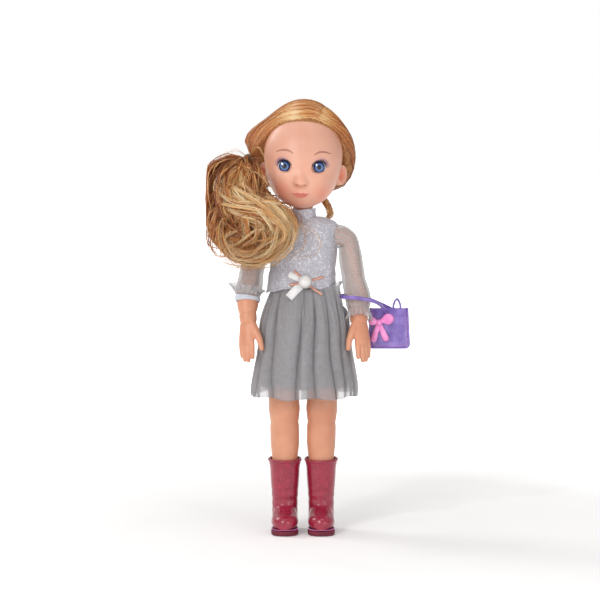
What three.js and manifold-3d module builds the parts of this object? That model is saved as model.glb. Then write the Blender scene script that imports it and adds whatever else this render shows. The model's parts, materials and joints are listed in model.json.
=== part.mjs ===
import * as THREE from 'three';
import { mergeVertices } from 'three/addons/utils/BufferGeometryUtils.js';
import Module from 'manifold-3d';

const wasm = await Module();
wasm.setup();

// Musical doll, standing, facing -Y, with +X to the doll's left. Millimetres.

// Clearances
const runningGap = 0.4;
const seamGap = 0.3;
const clothGap = 0.5;

// Levels up the body
const soleThickness = 4;
const bootTopZ = 58;
const hipZ = 166;
const waistZ = 201;
const shoulderZ = 246;
const neckBaseZ = 259;

// Torso
const torsoWall = 2.2;
const hipHalfWidth = 28.5;
const hipDepth = 19.5;
const waistHalfWidth = 25;
const waistDepth = 15.5;
const chestHalfWidth = 27;
const chestDepth = 16.5;
const torsoNeckRadius = 9;
const crotchHalfWidth = 4.2;

// Head
const chinZ = 266;
const headHalfWidth = 30.8;
const headFrontDepth = 28;
const headBackDepth = 33;
const headUpperHeight = 46;
const headLowerHeight = 37;
const headCentreZ = chinZ + headLowerHeight;
const headWall = 2.6;
const headYaw = THREE.MathUtils.degToRad(-2.5);
const headRoll = THREE.MathUtils.degToRad(2);
const neckRadius = 8.2;
const neckWall = 2;
const neckLipHeight = 2.4;
const neckPostRadius = 4.2;
const neckFootRadius = 6.4;
const neckFlangeHeight = 1.8;

// Eyes and ears, measured from the centre of the head
const eyeRadius = 8;
const eyeSpacing = 27.4;
const eyeDrop = 2.4;
const eyeCentreDepth = 16.2;
const eyeOpeningWidth = 13.2;
const eyeOpeningHeight = 10.4;
const earHeight = 16.5;
const earThickness = 5;
const earLength = 9.5;
const earDrop = 8.5;

// Hair
const hairThickness = 5.4;
const hairSeat = 1.7;
const hairSideSweep = 5;
const hairRimThickness = 1;

// Rise of the hairline above the middle of the head, in degrees
const hairlineFront = 61;
const hairlineTemple = 34;
const hairlineOverEar = 3;
const hairlineBehindEar = -30;
const hairlineNape = -48;

// Side tail and nape lock
const tailLength = 83;
const tailSway = 20.4;
const tailForward = 35.6;
const tailWidth = 36;
const tailDepth = 14;
const tieThickness = 2.2;
const lockLength = 20.5;
const lockRadius = 2.6;
const curlTurns = 1.2;
const curlLobes = 9;
const curlLobeDepth = 0.09;

// Arms
const armFaceX = chestHalfWidth + 1.2;
const shoulderHeadRadius = 8.2;
const armPegRadius = 3.4;
const armPegFlangeRadius = 5.4;
const armPegFlangeThickness = 1.6;
const shoulderBossRadius = 7.2;
const upperArmRadius = 7.8;
const elbowRadius = 7.5;
const forearmRadius = 8.7;
const wristRadius = 6.5;
const elbowZ = 210;
const forearmZ = 193;
const wristZ = 178;
const shoulderX = 35;
const armpitX = 37.8;
const elbowX = 41;
const forearmX = 45.2;
const wristX = 45.7;
const forearmForward = 6;
const wristForward = 11.5;
const palmLength = 19;
const palmWidth = 14;
const palmThickness = 8.4;
const fingerRadius = 2.2;
const fingerLength = 19;
const fingerCount = 4;
const fingerPitch = 3.55;
const thumbLength = 15;
const handTilt = 0.32;

// Legs
const hipX = 16.8;
const legX = 15;
const legHeadRadius = 14.2;
const legInnerGap = 0.5;
const thighRadius = 13.8;
const kneeRadius = 12.2;
const calfRadius = 12;
const ankleRadius = 7.2;
const kneeZ = 96;
const calfZ = 74;
const ankleZ = 26;
const footLength = 38;
const footHalfWidth = 7.4;
const hipAxleRadius = 1.6;
const hipAxleHalfLength = 13;

// Boots
const bootWall = 1.3;
const bootFit = 1;
const bootHalfWidth = 12.6;
const bootHeelY = 15;
const bootToeY = 33;
const bootToeHeight = 17;
const bootInstepHeight = 30;
const footRise = 8;
const bootRollRadius = 1;

// Dress
const clothThickness = 1.1;
const tulleThickness = 0.7;
const hemZ = 112;
const liningHemZ = 120;
const hemHalfWidth = 44;
const hemDepth = 38;
const pleatCount = 20;
const pleatDepth = 2.6;
const liningInset = 6.4;
const collarHeight = 7;
const collarThickness = 1.2;
const sleeveFullness = 1.6;
const sleeveThickness = 0.5;
const closureWidth = 7;
const closureThickness = 0.6;

// Cuffs and band
const leftCuffZ = 183.8;
const rightCuffZ = 195.5;
const leftCuffFlare = 1.8;
const rightCuffFlare = 2.6;
const cuffLength = 8.5;
const cuffFolds = 8;
const cuffFoldDepth = 0.8;
const bandHeight = 5;
const bandThickness = 1.2;

// Waist bow
const pearlRadius = 5.8;
const bowZ = 207.5;
const ribbonThickness = 0.5;

// Sound module
const moduleTopZ = 234;
const moduleBottomZ = 187;
const moduleFrontY = -5;
const moduleBackY = 2;
const moduleWall = 1.2;
const boardThickness = 1.2;
const boardFit = 0.3;
const speakerRadius = 13;
const speakerDepth = 5;
const speakerZ = 219.5;
const cellRadius = 5.8;
const cellThickness = 5.4;
const cellCount = 3;
const cellGap = 0.3;
const cellZ = 195.5;
const contactThickness = 0.6;
const buttonRadius = 5.5;
const buttonTravel = 1.6;
const switchHeight = 2;
const switchHalfWidth = 3;
const plungerRadius = 1.6;
const buttonFlangeRim = 1.4;
const buttonZ = 219;
const buttonFlange = 1.5;
const springWire = 0.5;
const springTurns = 3;
const doorThickness = 1.4;
const screwRadius = 1.2;
const screwHeadRadius = 2.4;
const screwBossRadius = 3.2;

// Handbag
const bagTopWidth = 31;
const bagBottomWidth = 34;
const bagHeight = 33;
const bagThickness = 9;
const bagX = 71;
const bagY = 4;
const bagBottomZ = 151;
const bagWall = 1.1;
const strapThickness = 0.9;
const strapWidth = 3;
const strapSlack = 4.2;

// Colours
const skinColour = '#e8b196';
const hairColour = '#d2a05c';
const tulleColour = '#9a9896';
const liningColour = '#8d8c8b';
const bodiceColour = '#b9b8c6';
const bootColour = '#b5264a';
const shellColour = '#e6a988';
const copperColour = '#c98c74';
const whiteColour = '#f1efec';
const steelColour = '#b9bcc0';
const sleeveColour = '#b4b0ae';
const frillColour = '#a5a3a2';

const doll = new THREE.Group();
const v3 = (x, y, z) => new THREE.Vector3(x, y, z);
const mix = THREE.MathUtils.lerp;
const sides = [-1, 1];

// Solids

function surfaceVolume(positions, triangles) {
  let volume = 0;
  for (let i = 0; i < triangles.length; i += 3) {
    const [a, b, c] = [0, 1, 2].map((k) => positions[triangles[i + k]]);
    volume += a.dot(b.clone().cross(c)) / 6;
  }
  return volume;
}

// Skins rings of equal count; open ends are capped, a ringed skin closes on itself.
function loft(rings, ringed = false) {
  const count = rings[0].length;
  const points = rings.flat();
  const triangles = [];
  const bands = ringed ? rings.length : rings.length - 1;
  for (let i = 0; i < bands; i += 1) {
    const next = (i + 1) % rings.length;
    for (let j = 0; j < count; j += 1) {
      const turn = (j + 1) % count;
      triangles.push(i * count + j, i * count + turn, next * count + turn);
      triangles.push(i * count + j, next * count + turn, next * count + j);
    }
  }
  if (!ringed) {
    for (const end of [0, rings.length - 1]) {
      const middle = rings[end].reduce((sum, p) => sum.add(p), v3(0, 0, 0)).divideScalar(count);
      points.push(middle);
      for (let j = 0; j < count; j += 1) {
        const a = end * count + j;
        const b = end * count + ((j + 1) % count);
        triangles.push(...(end === 0 ? [points.length - 1, b, a] : [points.length - 1, a, b]));
      }
    }
  }
  if (surfaceVolume(points, triangles) < 0) {
    triangles.reverse();
  }
  const geometry = new THREE.BufferGeometry().setFromPoints(points);
  geometry.setIndex(triangles);
  return geometry;
}

function solid(geometry) {
  const bare = geometry.clone();
  bare.deleteAttribute('normal');
  bare.deleteAttribute('uv');
  const merged = mergeVertices(bare, 1e-4);
  const vertProperties = new Float32Array(merged.attributes.position.array);
  const triVerts = new Uint32Array(merged.index.array);
  return new wasm.Manifold(new wasm.Mesh({ numProp: 3, vertProperties, triVerts }));
}

function skin(manifold) {
  const { vertProperties, triVerts } = manifold.getMesh();
  const geometry = new THREE.BufferGeometry();
  geometry.setAttribute('position', new THREE.BufferAttribute(vertProperties, 3));
  geometry.setIndex(new THREE.BufferAttribute(triVerts, 1));
  return geometry;
}

function join(...geometries) {
  return skin(geometries.map(solid).reduce((a, b) => a.add(b)));
}

function cut(geometry, ...tools) {
  return skin(tools.map(solid).reduce((a, b) => a.subtract(b), solid(geometry)));
}

function common(geometry, tool) {
  return skin(solid(geometry).intersect(solid(tool)));
}

function block(x0, x1, y0, y1, z0, z1) {
  const box = new THREE.BoxGeometry(x1 - x0, y1 - y0, z1 - z0);
  return box.translate((x0 + x1) / 2, (y0 + y1) / 2, (z0 + z1) / 2);
}

function rod(from, to, radius, facets = 16, endRadius = radius) {
  const axis = to.clone().sub(from);
  const geometry = new THREE.CylinderGeometry(endRadius, radius, axis.length(), facets);
  const turn = new THREE.Quaternion().setFromUnitVectors(v3(0, 1, 0), axis.clone().normalize());
  geometry.applyQuaternion(turn);
  const middle = from.clone().add(to).divideScalar(2);
  return geometry.translate(middle.x, middle.y, middle.z);
}

function ball(centre, rx, ry, rz, across = 16, down = 12) {
  const geometry = new THREE.SphereGeometry(1, across, down).rotateX(Math.PI / 2);
  return geometry.scale(rx, ry, rz).translate(centre.x, centre.y, centre.z);
}

function ovalRing(section, grow, count) {
  const { x = 0, y = 0, z, halfWidth, front, back = front } = section;
  const ring = [];
  for (let j = 0; j < count; j += 1) {
    const angle = (j / count) * Math.PI * 2;
    const depth = Math.sin(angle) < 0 ? front : back;
    const point = v3(Math.cos(angle) * (halfWidth + grow), Math.sin(angle) * (depth + grow), z);
    ring.push(point.add(v3(x, y, 0)));
  }
  return ring;
}

// A ring square to a limb, at a point of its axis.
function limbRing(centre, along, across, radiusAcross, radiusDeep, count) {
  const deep = along.clone().cross(across).normalize();
  const side = deep.clone().cross(along).normalize();
  const ring = [];
  for (let j = 0; j < count; j += 1) {
    const angle = (j / count) * Math.PI * 2;
    const point = centre.clone();
    point.addScaledVector(side, Math.cos(angle) * radiusAcross);
    point.addScaledVector(deep, Math.sin(angle) * radiusDeep);
    ring.push(point);
  }
  return ring;
}

function between(stations, key, z) {
  let i = 0;
  while (i < stations.length - 2 && z > stations[i + 1].z) {
    i += 1;
  }
  const a = stations[i];
  const b = stations[i + 1];
  const t = THREE.MathUtils.clamp((z - a.z) / (b.z - a.z), 0, 1);
  return mix(a[key], b[key], t * t * (3 - 2 * t) * 0.5 + t * 0.5);
}

function add(name, geometry, color, roughness = 0.6, metalness = 0) {
  const material = new THREE.MeshStandardMaterial({ color, roughness, metalness });
  const mesh = new THREE.Mesh(geometry, material);
  mesh.name = name;
  mesh.geometry.computeVertexNormals();
  doll.add(mesh);
}

function mirrored(geometry) {
  const copy = geometry.clone().scale(-1, 1, 1);
  const index = Array.from(copy.index.array);
  index.reverse();
  copy.setIndex(index);
  return copy;
}

// Head surface: the distance from its centre to the vinyl skin in a given direction

function bump(angle, rise, [atAngle, atRise, wide, tall, height]) {
  const a = (angle - atAngle) / wide;
  const b = (rise - atRise) / tall;
  return height * Math.exp(-(a * a + b * b) / 2);
}

function headRadius(direction, detail = true) {
  const { x, y, z } = direction;
  const depth = y < 0 ? headFrontDepth : headBackDepth;
  const height = z < 0 ? headLowerHeight : headUpperHeight;
  const oval = Math.hypot(x / headHalfWidth, y / depth, z / height);
  const angle = Math.abs(THREE.MathUtils.radToDeg(Math.atan2(x, -y)));
  const rise = THREE.MathUtils.radToDeg(Math.asin(THREE.MathUtils.clamp(z, -1, 1)));
  let radius = 1 / oval;
  // Temples and the fullness over the ears
  radius += bump(angle, rise, [95, 28, 45, 20, 2.4]);
  // Chin, and the hollow under it round the neck
  const chin = Math.acos(THREE.MathUtils.clamp(-y * 0.45 - z * 0.893, -1, 1));
  const under = Math.acos(THREE.MathUtils.clamp(y * 0.12 - z * 0.993, -1, 1));
  radius += 4.6 * Math.exp(-((chin / 0.3) ** 2) / 2);
  radius -= 7.5 * Math.exp(-((under / 0.27) ** 2) / 2);
  if (detail) {
    // Cheeks, eye hollows, brow, nose with its wings, and mouth
    radius += bump(angle, rise, [34, -27, 15, 13, 1.8]);
    radius += bump(angle, rise, [28, -3, 11, 9, -1.4]);
    radius += bump(angle, rise, [0, -27, 6.5, rise > -27 ? 10 : 4.5, 5.6]);
    radius += bump(angle, rise, [7, -29, 3.5, 3.5, 1.4]);
    radius += bump(angle, rise, [0, -43, 14, 8, 1.3]);
  }
  return radius;
}

const headPlace = new THREE.Matrix4()
  .makeTranslation(0, 0, headCentreZ)
  .multiply(new THREE.Matrix4().makeRotationY(headRoll))
  .multiply(new THREE.Matrix4().makeRotationZ(headYaw));

function headBody(grow, across, down, detail = true) {
  const geometry = new THREE.SphereGeometry(1, across, down).rotateX(Math.PI / 2);
  const position = geometry.attributes.position;
  for (let i = 0; i < position.count; i += 1) {
    const direction = v3().fromBufferAttribute(position, i).normalize();
    direction.multiplyScalar(headRadius(direction, detail) + grow);
    position.setXYZ(i, direction.x, direction.y, direction.z);
  }
  return geometry.applyMatrix4(headPlace);
}

const neckBottomZ = neckBaseZ + seamGap;
const neckTopZ = headCentreZ - headLowerHeight + 12;
const neckBoreRadius = neckPostRadius + runningGap;
const neckFlangeRadius = neckRadius - neckWall - runningGap;

const ears = sides.map((side) => {
  const centre = v3(side * (headHalfWidth + 0.8), 3, -earDrop);
  const lobe = ball(centre, earThickness / 2, earLength / 2, earHeight / 2, 8, 6);
  return lobe.applyMatrix4(headPlace);
});

function eyeCutter(side) {
  const from = v3(side * eyeSpacing / 2, -eyeCentreDepth, -eyeDrop);
  const to = v3(side * eyeSpacing / 2, -headFrontDepth - 12, -eyeDrop);
  const tube = rod(v3(0, 0, 0), v3(0, to.y - from.y, 0), 0.5, 12);
  tube.scale(eyeOpeningWidth, 1, eyeOpeningHeight).translate(from.x, from.y, from.z);
  return tube.applyMatrix4(headPlace);
}

function eyeBall(side, grow, across, down) {
  const centre = v3(side * eyeSpacing / 2, -eyeCentreDepth, -eyeDrop);
  const radius = eyeRadius + grow;
  return ball(centre, radius, radius, radius, across, down).applyMatrix4(headPlace);
}

const neckTube = rod(v3(0, 0, neckBottomZ), v3(0, 0, neckTopZ), neckRadius, 14);
const neckHollowFloor = v3(0, 0, neckBottomZ + neckLipHeight);
const neckHollow = rod(neckHollowFloor, v3(0, 0, neckTopZ + 4), neckRadius - neckWall, 12);
const neckBore = rod(v3(0, 0, neckBottomZ - 2), v3(0, 0, neckTopZ), neckBoreRadius, 12);
const headOuter = join(headBody(0, 24, 15), neckTube, ...ears);
const headHollow = headBody(-headWall - 0.8, 12, 8, false);
const headShell = cut(
  headOuter, headHollow, neckHollow, neckBore,
  eyeCutter(-1), eyeCutter(1), eyeBall(-1, clothGap, 10, 7), eyeBall(1, clothGap, 10, 7),
);
add('head_shell', headShell, skinColour, 0.45);
add('right_eye', eyeBall(-1, 0, 12, 8), '#5f86c8', 0.1);
add('left_eye', eyeBall(1, 0, 12, 8), '#5f86c8', 0.1);

// Neck post: holds the head's inner lip from above and is clamped under the top of the torso
const torsoTopInner = neckBaseZ - torsoWall;
const neckPost = join(
  rod(
    v3(0, 0, torsoTopInner - seamGap - neckFlangeHeight), v3(0, 0, torsoTopInner - seamGap),
    neckFootRadius, 14,
  ),
  rod(v3(0, 0, torsoTopInner - 1), v3(0, 0, neckBottomZ + neckLipHeight + 1), neckPostRadius, 14),
  rod(
    v3(0, 0, neckBottomZ + neckLipHeight + runningGap),
    v3(0, 0, neckBottomZ + neckLipHeight + runningGap + neckFlangeHeight),
    neckFlangeRadius, 14,
  ),
);
add('neck_post', neckPost, whiteColour, 0.5);

// Hair cap: a shell over the skull from the crown down to the hairline

function hairlineRise(angle) {
  const line = [
    [0, hairlineFront], [30, hairlineFront - 6], [62, hairlineTemple], [86, hairlineOverEar + 3],
    [98, hairlineOverEar], [116, hairlineBehindEar], [180, hairlineNape],
  ];
  const a = Math.abs(angle);
  const next = Math.max(line.findIndex(([at]) => a <= at), 1);
  const [from, low] = line[next - 1];
  const [to, high] = line[next];
  return mix(low, high, (a - from) / (to - from));
}

function hairCap(across, down, grow = 0) {
  const outer = [];
  const inner = [];
  for (let i = 0; i <= down; i += 1) {
    const t = i / down;
    const rings = [[], []];
    for (let j = 0; j < across; j += 1) {
      const angle = (j / across) * 360 - 180;
      const rise = THREE.MathUtils.degToRad(mix(88.5, hairlineRise(angle), t));
      const turn = THREE.MathUtils.degToRad(angle);
      const level = Math.cos(rise);
      const direction = v3(Math.sin(turn) * level, -Math.cos(turn) * level, Math.sin(rise));
      const radius = headRadius(direction, false);
      const sideways = THREE.MathUtils.smoothstep(Math.abs(angle), 62, 105);
      const sweep = hairSideSweep * Math.exp(-(((Math.abs(angle) - 108) / 30) ** 2)) * level ** 2;
      const rim = mix(hairRimThickness, hairThickness * 0.8 + sweep, sideways);
      const full = hairThickness + sweep;
      const thick = mix(full, rim, THREE.MathUtils.smoothstep(t, 0.72, 1));
      const under = radius + hairSeat;
      rings[0].push(direction.clone().multiplyScalar(under + thick + grow).applyMatrix4(headPlace));
      rings[1].push(direction.clone().multiplyScalar(under).applyMatrix4(headPlace));
    }
    outer.push(rings[0]);
    inner.unshift(rings[1]);
  }
  return loft([...outer, ...inner]);
}

const earClearance = sides.map((side) => {
  const centre = v3(side * (headHalfWidth + 0.8), 3, -earDrop);
  const [rx, ry, rz] = [earThickness, earLength, earHeight].map((size) => size / 2 + clothGap);
  return ball(centre, rx, ry, rz, 8, 6).applyMatrix4(headPlace);
});
const neckClearance = rod(v3(0, 0, neckBottomZ), v3(0, 0, neckTopZ), neckRadius + clothGap, 20);
const capBody = cut(hairCap(24, 6), ...earClearance, neckClearance);
add('hair_cap', capBody, hairColour, 0.5);

// Waving side tail, gathered at the doll's right ear and lying before the right shoulder

const tailRoot = v3(-headHalfWidth - 7.8, 4.6, headCentreZ + 4);

function tailStation(out, ahead, fall, wide, deep) {
  const at = v3(-out * tailSway, -ahead * tailForward, -fall * tailLength).add(tailRoot);
  return { at, wide: wide * tailWidth, deep: deep * tailDepth };
}

const tailStations = [
  tailStation(0, 0, 0, 0.158, 0.371),
  tailStation(0.363, 0.045, 0.03, 0.133, 0.314),
  tailStation(0.755, 0.185, 0.084, 0.364, 0.714),
  tailStation(1, 0.41, 0.217, 0.515, 0.929),
  tailStation(0.755, 0.663, 0.41, 0.667, 1),
  tailStation(0.216, 0.944, 0.614, 1, 0.929),
  tailStation(0.02, 1, 0.795, 0.939, 0.857),
  tailStation(-0.078, 1, 0.94, 0.576, 0.571),
  tailStation(-0.127, 0.972, 1, 0.212, 0.286),
];

function tailBody(around) {
  const rings = tailStations.map((station, i) => {
    const t = i / (tailStations.length - 1);
    const before = tailStations[Math.max(i - 1, 0)].at;
    const after = tailStations[Math.min(i + 1, tailStations.length - 1)].at;
    const along = after.clone().sub(before).normalize();
    const across = v3(-t, 0, 1 - t).normalize();
    const ring = limbRing(station.at, along, across, station.wide, station.deep, around);
    return ring.map((point, j) => {
      const angle = (j / around) * Math.PI * 2;
      const wave = Math.cos(curlLobes * (angle + curlTurns * Math.PI * t)) * Math.min(t * 4, 1);
      return point.sub(station.at).multiplyScalar(1 + curlLobeDepth * wave).add(station.at);
    });
  });
  return loft(rings);
}

// The elastic that gathers the tail at its root
const tieAxis = tailStations[2].at.clone().sub(tailStations[0].at).normalize();
const tieTurn = new THREE.Quaternion().setFromUnitVectors(v3(0, 0, 1), tieAxis);
const tieInner = tailStations[1].wide * (1 + curlLobeDepth) + clothGap;
const tieRing = new THREE.TorusGeometry(tieInner + tieThickness / 2, tieThickness / 2, 6, 14)
  .applyQuaternion(tieTurn)
  .translate(...tailStations[1].at.clone().lerp(tailStations[0].at, 0.12).toArray());

// Torso

const torsoStations = [
  { z: hipZ - 13, halfWidth: 10, front: 9, back: 10 },
  { z: hipZ - 4, halfWidth: hipHalfWidth - 4, front: hipDepth - 3, back: hipDepth - 1 },
  { z: hipZ + 12, halfWidth: hipHalfWidth, front: hipDepth - 1, back: hipDepth },
  { z: waistZ + 1, halfWidth: waistHalfWidth, front: waistDepth, back: waistDepth - 0.5 },
  { z: waistZ + 14, halfWidth: waistHalfWidth, front: waistDepth + 0.5, back: waistDepth - 0.5 },
  { z: waistZ + 30, halfWidth: chestHalfWidth - 1, front: chestDepth, back: chestDepth - 1 },
  { z: shoulderZ, halfWidth: chestHalfWidth, front: chestDepth - 2, back: chestDepth - 2 },
  { z: shoulderZ + 6, halfWidth: chestHalfWidth - 2.6, front: chestDepth - 4, back: chestDepth - 4 },
  { z: neckBaseZ - 3, halfWidth: torsoNeckRadius + 9, front: torsoNeckRadius + 1, back: torsoNeckRadius + 1 },
  { z: neckBaseZ, halfWidth: torsoNeckRadius, front: torsoNeckRadius, back: torsoNeckRadius },
];

function torsoSection(z, grow) {
  const step = 0.5;
  const at = (key, level) => between(torsoStations, key, level);
  const slope = (at('halfWidth', z + step) - at('halfWidth', z - step)) / (2 * step);
  const spread = grow / Math.hypot(1, slope);
  return {
    z: z - spread * slope,
    halfWidth: at('halfWidth', z) + spread,
    front: at('front', z) + spread,
    back: at('back', z) + spread,
  };
}

function torsoRings(grow, low, high, rows, count) {
  const rings = [];
  for (let i = 0; i <= rows; i += 1) {
    rings.push(ovalRing(torsoSection(mix(low, high, i / rows), grow), 0, count));
  }
  return rings;
}

function shoulderRod(side, from, to, radius, facets = 12) {
  return rod(v3(side * from, 0, shoulderZ), v3(side * to, 0, shoulderZ), radius, facets);
}

const bossFaceX = armFaceX - seamGap;
const bossInnerX = bossFaceX - torsoWall;
const bossLength = 9;
const bossRootX = bossFaceX - bossLength;
const shoulderBosses = sides.map((side) => shoulderRod(side, bossRootX, bossFaceX, shoulderBossRadius));
const torsoOuter = join(loft(torsoRings(0, hipZ - 13, neckBaseZ, 10, 18)), ...shoulderBosses);
const torsoInner = loft(torsoRings(-torsoWall, hipZ + legHeadRadius + 3, torsoTopInner, 6, 14));
const pegFlangeFit = armPegFlangeRadius + runningGap;
const bossHollows = sides.map((side) => shoulderRod(side, bossRootX - 1, bossInnerX, pegFlangeFit));
const pegFit = armPegRadius + runningGap;
const armBores = sides.map((side) => shoulderRod(side, bossInnerX - 4, bossFaceX + 4, pegFit, 16));

// What the turning thigh needs: its round seat, the way forward and a relief behind
const legFit = legHeadRadius + runningGap;
const seatRise = 3;
const legSeats = sides.map((side) => rod(
  v3(side * crotchHalfWidth, 0, hipZ), v3(side * (hipHalfWidth + 8), 0, hipZ), legFit, 18,
));
function besideCrotch(side, y0, y1, z0, z1) {
  const [near, far] = [side * crotchHalfWidth, side * (hipHalfWidth + 20)];
  return block(Math.min(near, far), Math.max(near, far), y0, y1, z0, z1);
}
const thighSweeps = sides.map((side) => besideCrotch(side, -hipDepth * 2, 0.5, hipZ - 20, hipZ + legFit));
const seatRelief = sides.map((side) => besideCrotch(side, 0, hipDepth * 2, hipZ - 20, hipZ + seatRise));
const neckPocket = rod(v3(0, 0, torsoTopInner - 7), v3(0, 0, torsoTopInner), neckFootRadius + runningGap, 14);
const neckHole = rod(v3(0, 0, torsoTopInner - 6), v3(0, 0, neckBaseZ + 4), neckPostRadius + seamGap, 14);
const axleHoleReach = crotchHalfWidth + 5;
const axleHole = rod(v3(-axleHoleReach, 0, hipZ), v3(axleHoleReach, 0, hipZ), hipAxleRadius + seamGap, 10);

const screwX = waistHalfWidth - 6;
const screwPlaces = [waistZ - 9, waistZ + 30].flatMap((z) => [[-screwX, z], [screwX, z]]);
const screwHeadY = 6.6;
const screwHeadHeight = 1.5;
const screwLength = 13;

function alongY(x, z, y0, y1, radius, facets = 8) {
  return rod(v3(x, y0, z), v3(x, y1, z), radius, facets);
}

const outside = hipDepth * 1.5;
const bosses = screwPlaces.map(([x, z]) => {
  const pillar = alongY(x, z, -outside, outside, screwBossRadius);
  return common(pillar, torsoOuter);
});
const screwEndY = screwHeadY - screwLength;
const screwHoles = screwPlaces.map(([x, z]) => alongY(x, z, screwEndY - 1, outside, screwRadius + seamGap));
const headHoles = screwPlaces.map(([x, z]) => alongY(x, z, screwHeadY, outside, screwHeadRadius + seamGap));

// Sound holes in the back, one ring about a middle one
const grilleRingRadius = 5;
const grilleHoleRadius = 1.2;
const grilleCount = 6;
const grilleHoles = [alongY(0, speakerZ, 6, outside, grilleHoleRadius, 6)];
for (let i = 0; i < grilleCount; i += 1) {
  const turn = (i / grilleCount) * Math.PI * 2;
  const x = Math.cos(turn) * grilleRingRadius;
  const z = speakerZ + Math.sin(turn) * grilleRingRadius;
  grilleHoles.push(alongY(x, z, 6, outside, grilleHoleRadius, 6));
}

// Battery door, flush in the back of the torso
const doorHalfWidth = 13;
const doorHalfHeight = 9.5;
const doorZ = cellZ;
function doorShape(grow, y0, y1) {
  const width = doorHalfWidth + grow;
  const height = doorHalfHeight + grow;
  return block(-width, width, y0, y1, doorZ - height, doorZ + height);
}
const doorScrewZ = doorZ + doorHalfHeight - screwHeadRadius - 0.2;
const doorSkin = cut(
  common(doorShape(0, 6, outside), loft(torsoRings(0, hipZ - 13, neckBaseZ, 10, 18))),
  loft(torsoRings(-doorThickness, hipZ - 13, neckBaseZ, 10, 18)),
);
const doorHole = alongY(0, doorScrewZ, 5, outside, screwRadius + seamGap);
const doorFaceY = between(torsoStations, 'back', doorScrewZ);
const doorHeadSeat = alongY(0, doorScrewZ, doorFaceY - 0.9, outside, screwHeadRadius);

const buttonHole = alongY(0, buttonZ, -outside, -6, buttonRadius + runningGap, 16);
const shellBody = cut(
  join(cut(torsoOuter, torsoInner, ...bossHollows), ...bosses),
  ...armBores, ...legSeats, ...thighSweeps, ...seatRelief, neckPocket, neckHole, axleHole,
  ...screwHoles, ...headHoles,
);
const shellReach = outside * 2;
const frontSide = block(-shellReach, shellReach, -shellReach, -seamGap / 2, 0, headCentreZ);
const backSide = block(-shellReach, shellReach, seamGap / 2, shellReach, 0, headCentreZ);
const frontHalf = cut(common(shellBody, frontSide), buttonHole);
const backHalf = cut(
  common(shellBody, backSide), doorShape(seamGap, 3, outside), ...grilleHoles,
);
add('torso_front', frontHalf, shellColour, 0.5);
add('torso_back', backHalf, shellColour, 0.5);
add('battery_door', cut(doorSkin, doorHole, doorHeadSeat), shellColour, 0.5);

screwPlaces.forEach(([x, z], i) => {
  const screw = join(
    alongY(x, z, screwEndY, screwHeadY + 1, screwRadius),
    alongY(x, z, screwHeadY + seamGap, screwHeadY + screwHeadHeight, screwHeadRadius),
  );
  add(`torso_screw_${i + 1}`, screw, steelColour, 0.3, 1);
});

const hipAxle = rod(v3(-hipAxleHalfLength, 0, hipZ), v3(hipAxleHalfLength, 0, hipZ), hipAxleRadius, 12);
add('hip_axle', hipAxle, steelColour, 0.3, 1);

// Sound module: case, board, speaker, three cells, contacts, button with its spring

const moduleHalfWidth = screwX - screwBossRadius - runningGap;
const cellPitch = cellThickness + cellGap;
const cellSink = 4;
const trayHalfWidth = (cellCount * cellPitch) / 2 + contactThickness * 4;
const trayBackY = moduleBackY + cellRadius * 2 + 0.8 - cellSink;
const trayFloorY = moduleBackY - cellSink - 1;
const trayReach = cellRadius + seamGap;
const caseBody = cut(
  join(
    block(-moduleHalfWidth, moduleHalfWidth, moduleFrontY, moduleBackY, moduleBottomZ, moduleTopZ),
    block(
      -trayHalfWidth - moduleWall, trayHalfWidth + moduleWall, trayFloorY, trayBackY,
      cellZ - trayReach - moduleWall, cellZ + trayReach + moduleWall,
    ),
  ),
  block(
    -moduleHalfWidth + moduleWall, moduleHalfWidth - moduleWall, moduleFrontY - 1, trayFloorY - moduleWall,
    moduleBottomZ + moduleWall, moduleTopZ - moduleWall,
  ),
  block(
    -moduleHalfWidth + moduleWall, moduleHalfWidth - moduleWall, moduleFrontY - 1, moduleBackY - moduleWall,
    cellZ + trayReach + moduleWall * 2, moduleTopZ - moduleWall,
  ),
  block(-trayHalfWidth, trayHalfWidth, trayFloorY, trayBackY + 4, cellZ - trayReach, cellZ + trayReach),
);
add('sound_module_case', caseBody, '#e9e9e4', 0.6);

const boardY = moduleFrontY - seamGap;
add('circuit_board', block(
  -moduleHalfWidth + boardFit, moduleHalfWidth - boardFit, boardY - boardThickness, boardY,
  moduleBottomZ + boardFit, moduleTopZ - boardFit,
), '#2f7d46', 0.5);

const chipY = boardY - boardThickness;
add('sound_chip', cut(
  ball(v3(-8, chipY - seamGap / 2, buttonZ - 14), 4.2, 1.8, 4.2, 14, 8),
  block(-20, 20, chipY - seamGap / 2, 20, moduleBottomZ, moduleTopZ),
), '#1b1b1d', 0.35);

const torsoFrontAtButton = -between(torsoStations, 'front', buttonZ);
const buttonFace = torsoFrontAtButton + 0.2;
const buttonSink = 1.2;
const flangeY = torsoFrontAtButton + torsoWall + buttonSink;
const springSeatY = flangeY + buttonFlange;
add('music_button', join(
  alongY(0, buttonZ, buttonFace, flangeY + 0.5, buttonRadius, 16),
  alongY(0, buttonZ, flangeY, springSeatY, buttonRadius + buttonFlangeRim, 16),
), '#d9a0a8', 0.4);

const pressGap = 0.2;
const plungerY = springSeatY + buttonTravel + pressGap;
const switchBackY = chipY - seamGap;
add('button_switch', join(
  block(
    -switchHalfWidth, switchHalfWidth, switchBackY - switchHeight, switchBackY,
    buttonZ - switchHalfWidth, buttonZ + switchHalfWidth,
  ),
  alongY(0, buttonZ, plungerY, switchBackY - switchHeight / 2, plungerRadius),
), '#33353a', 0.4);

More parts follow.
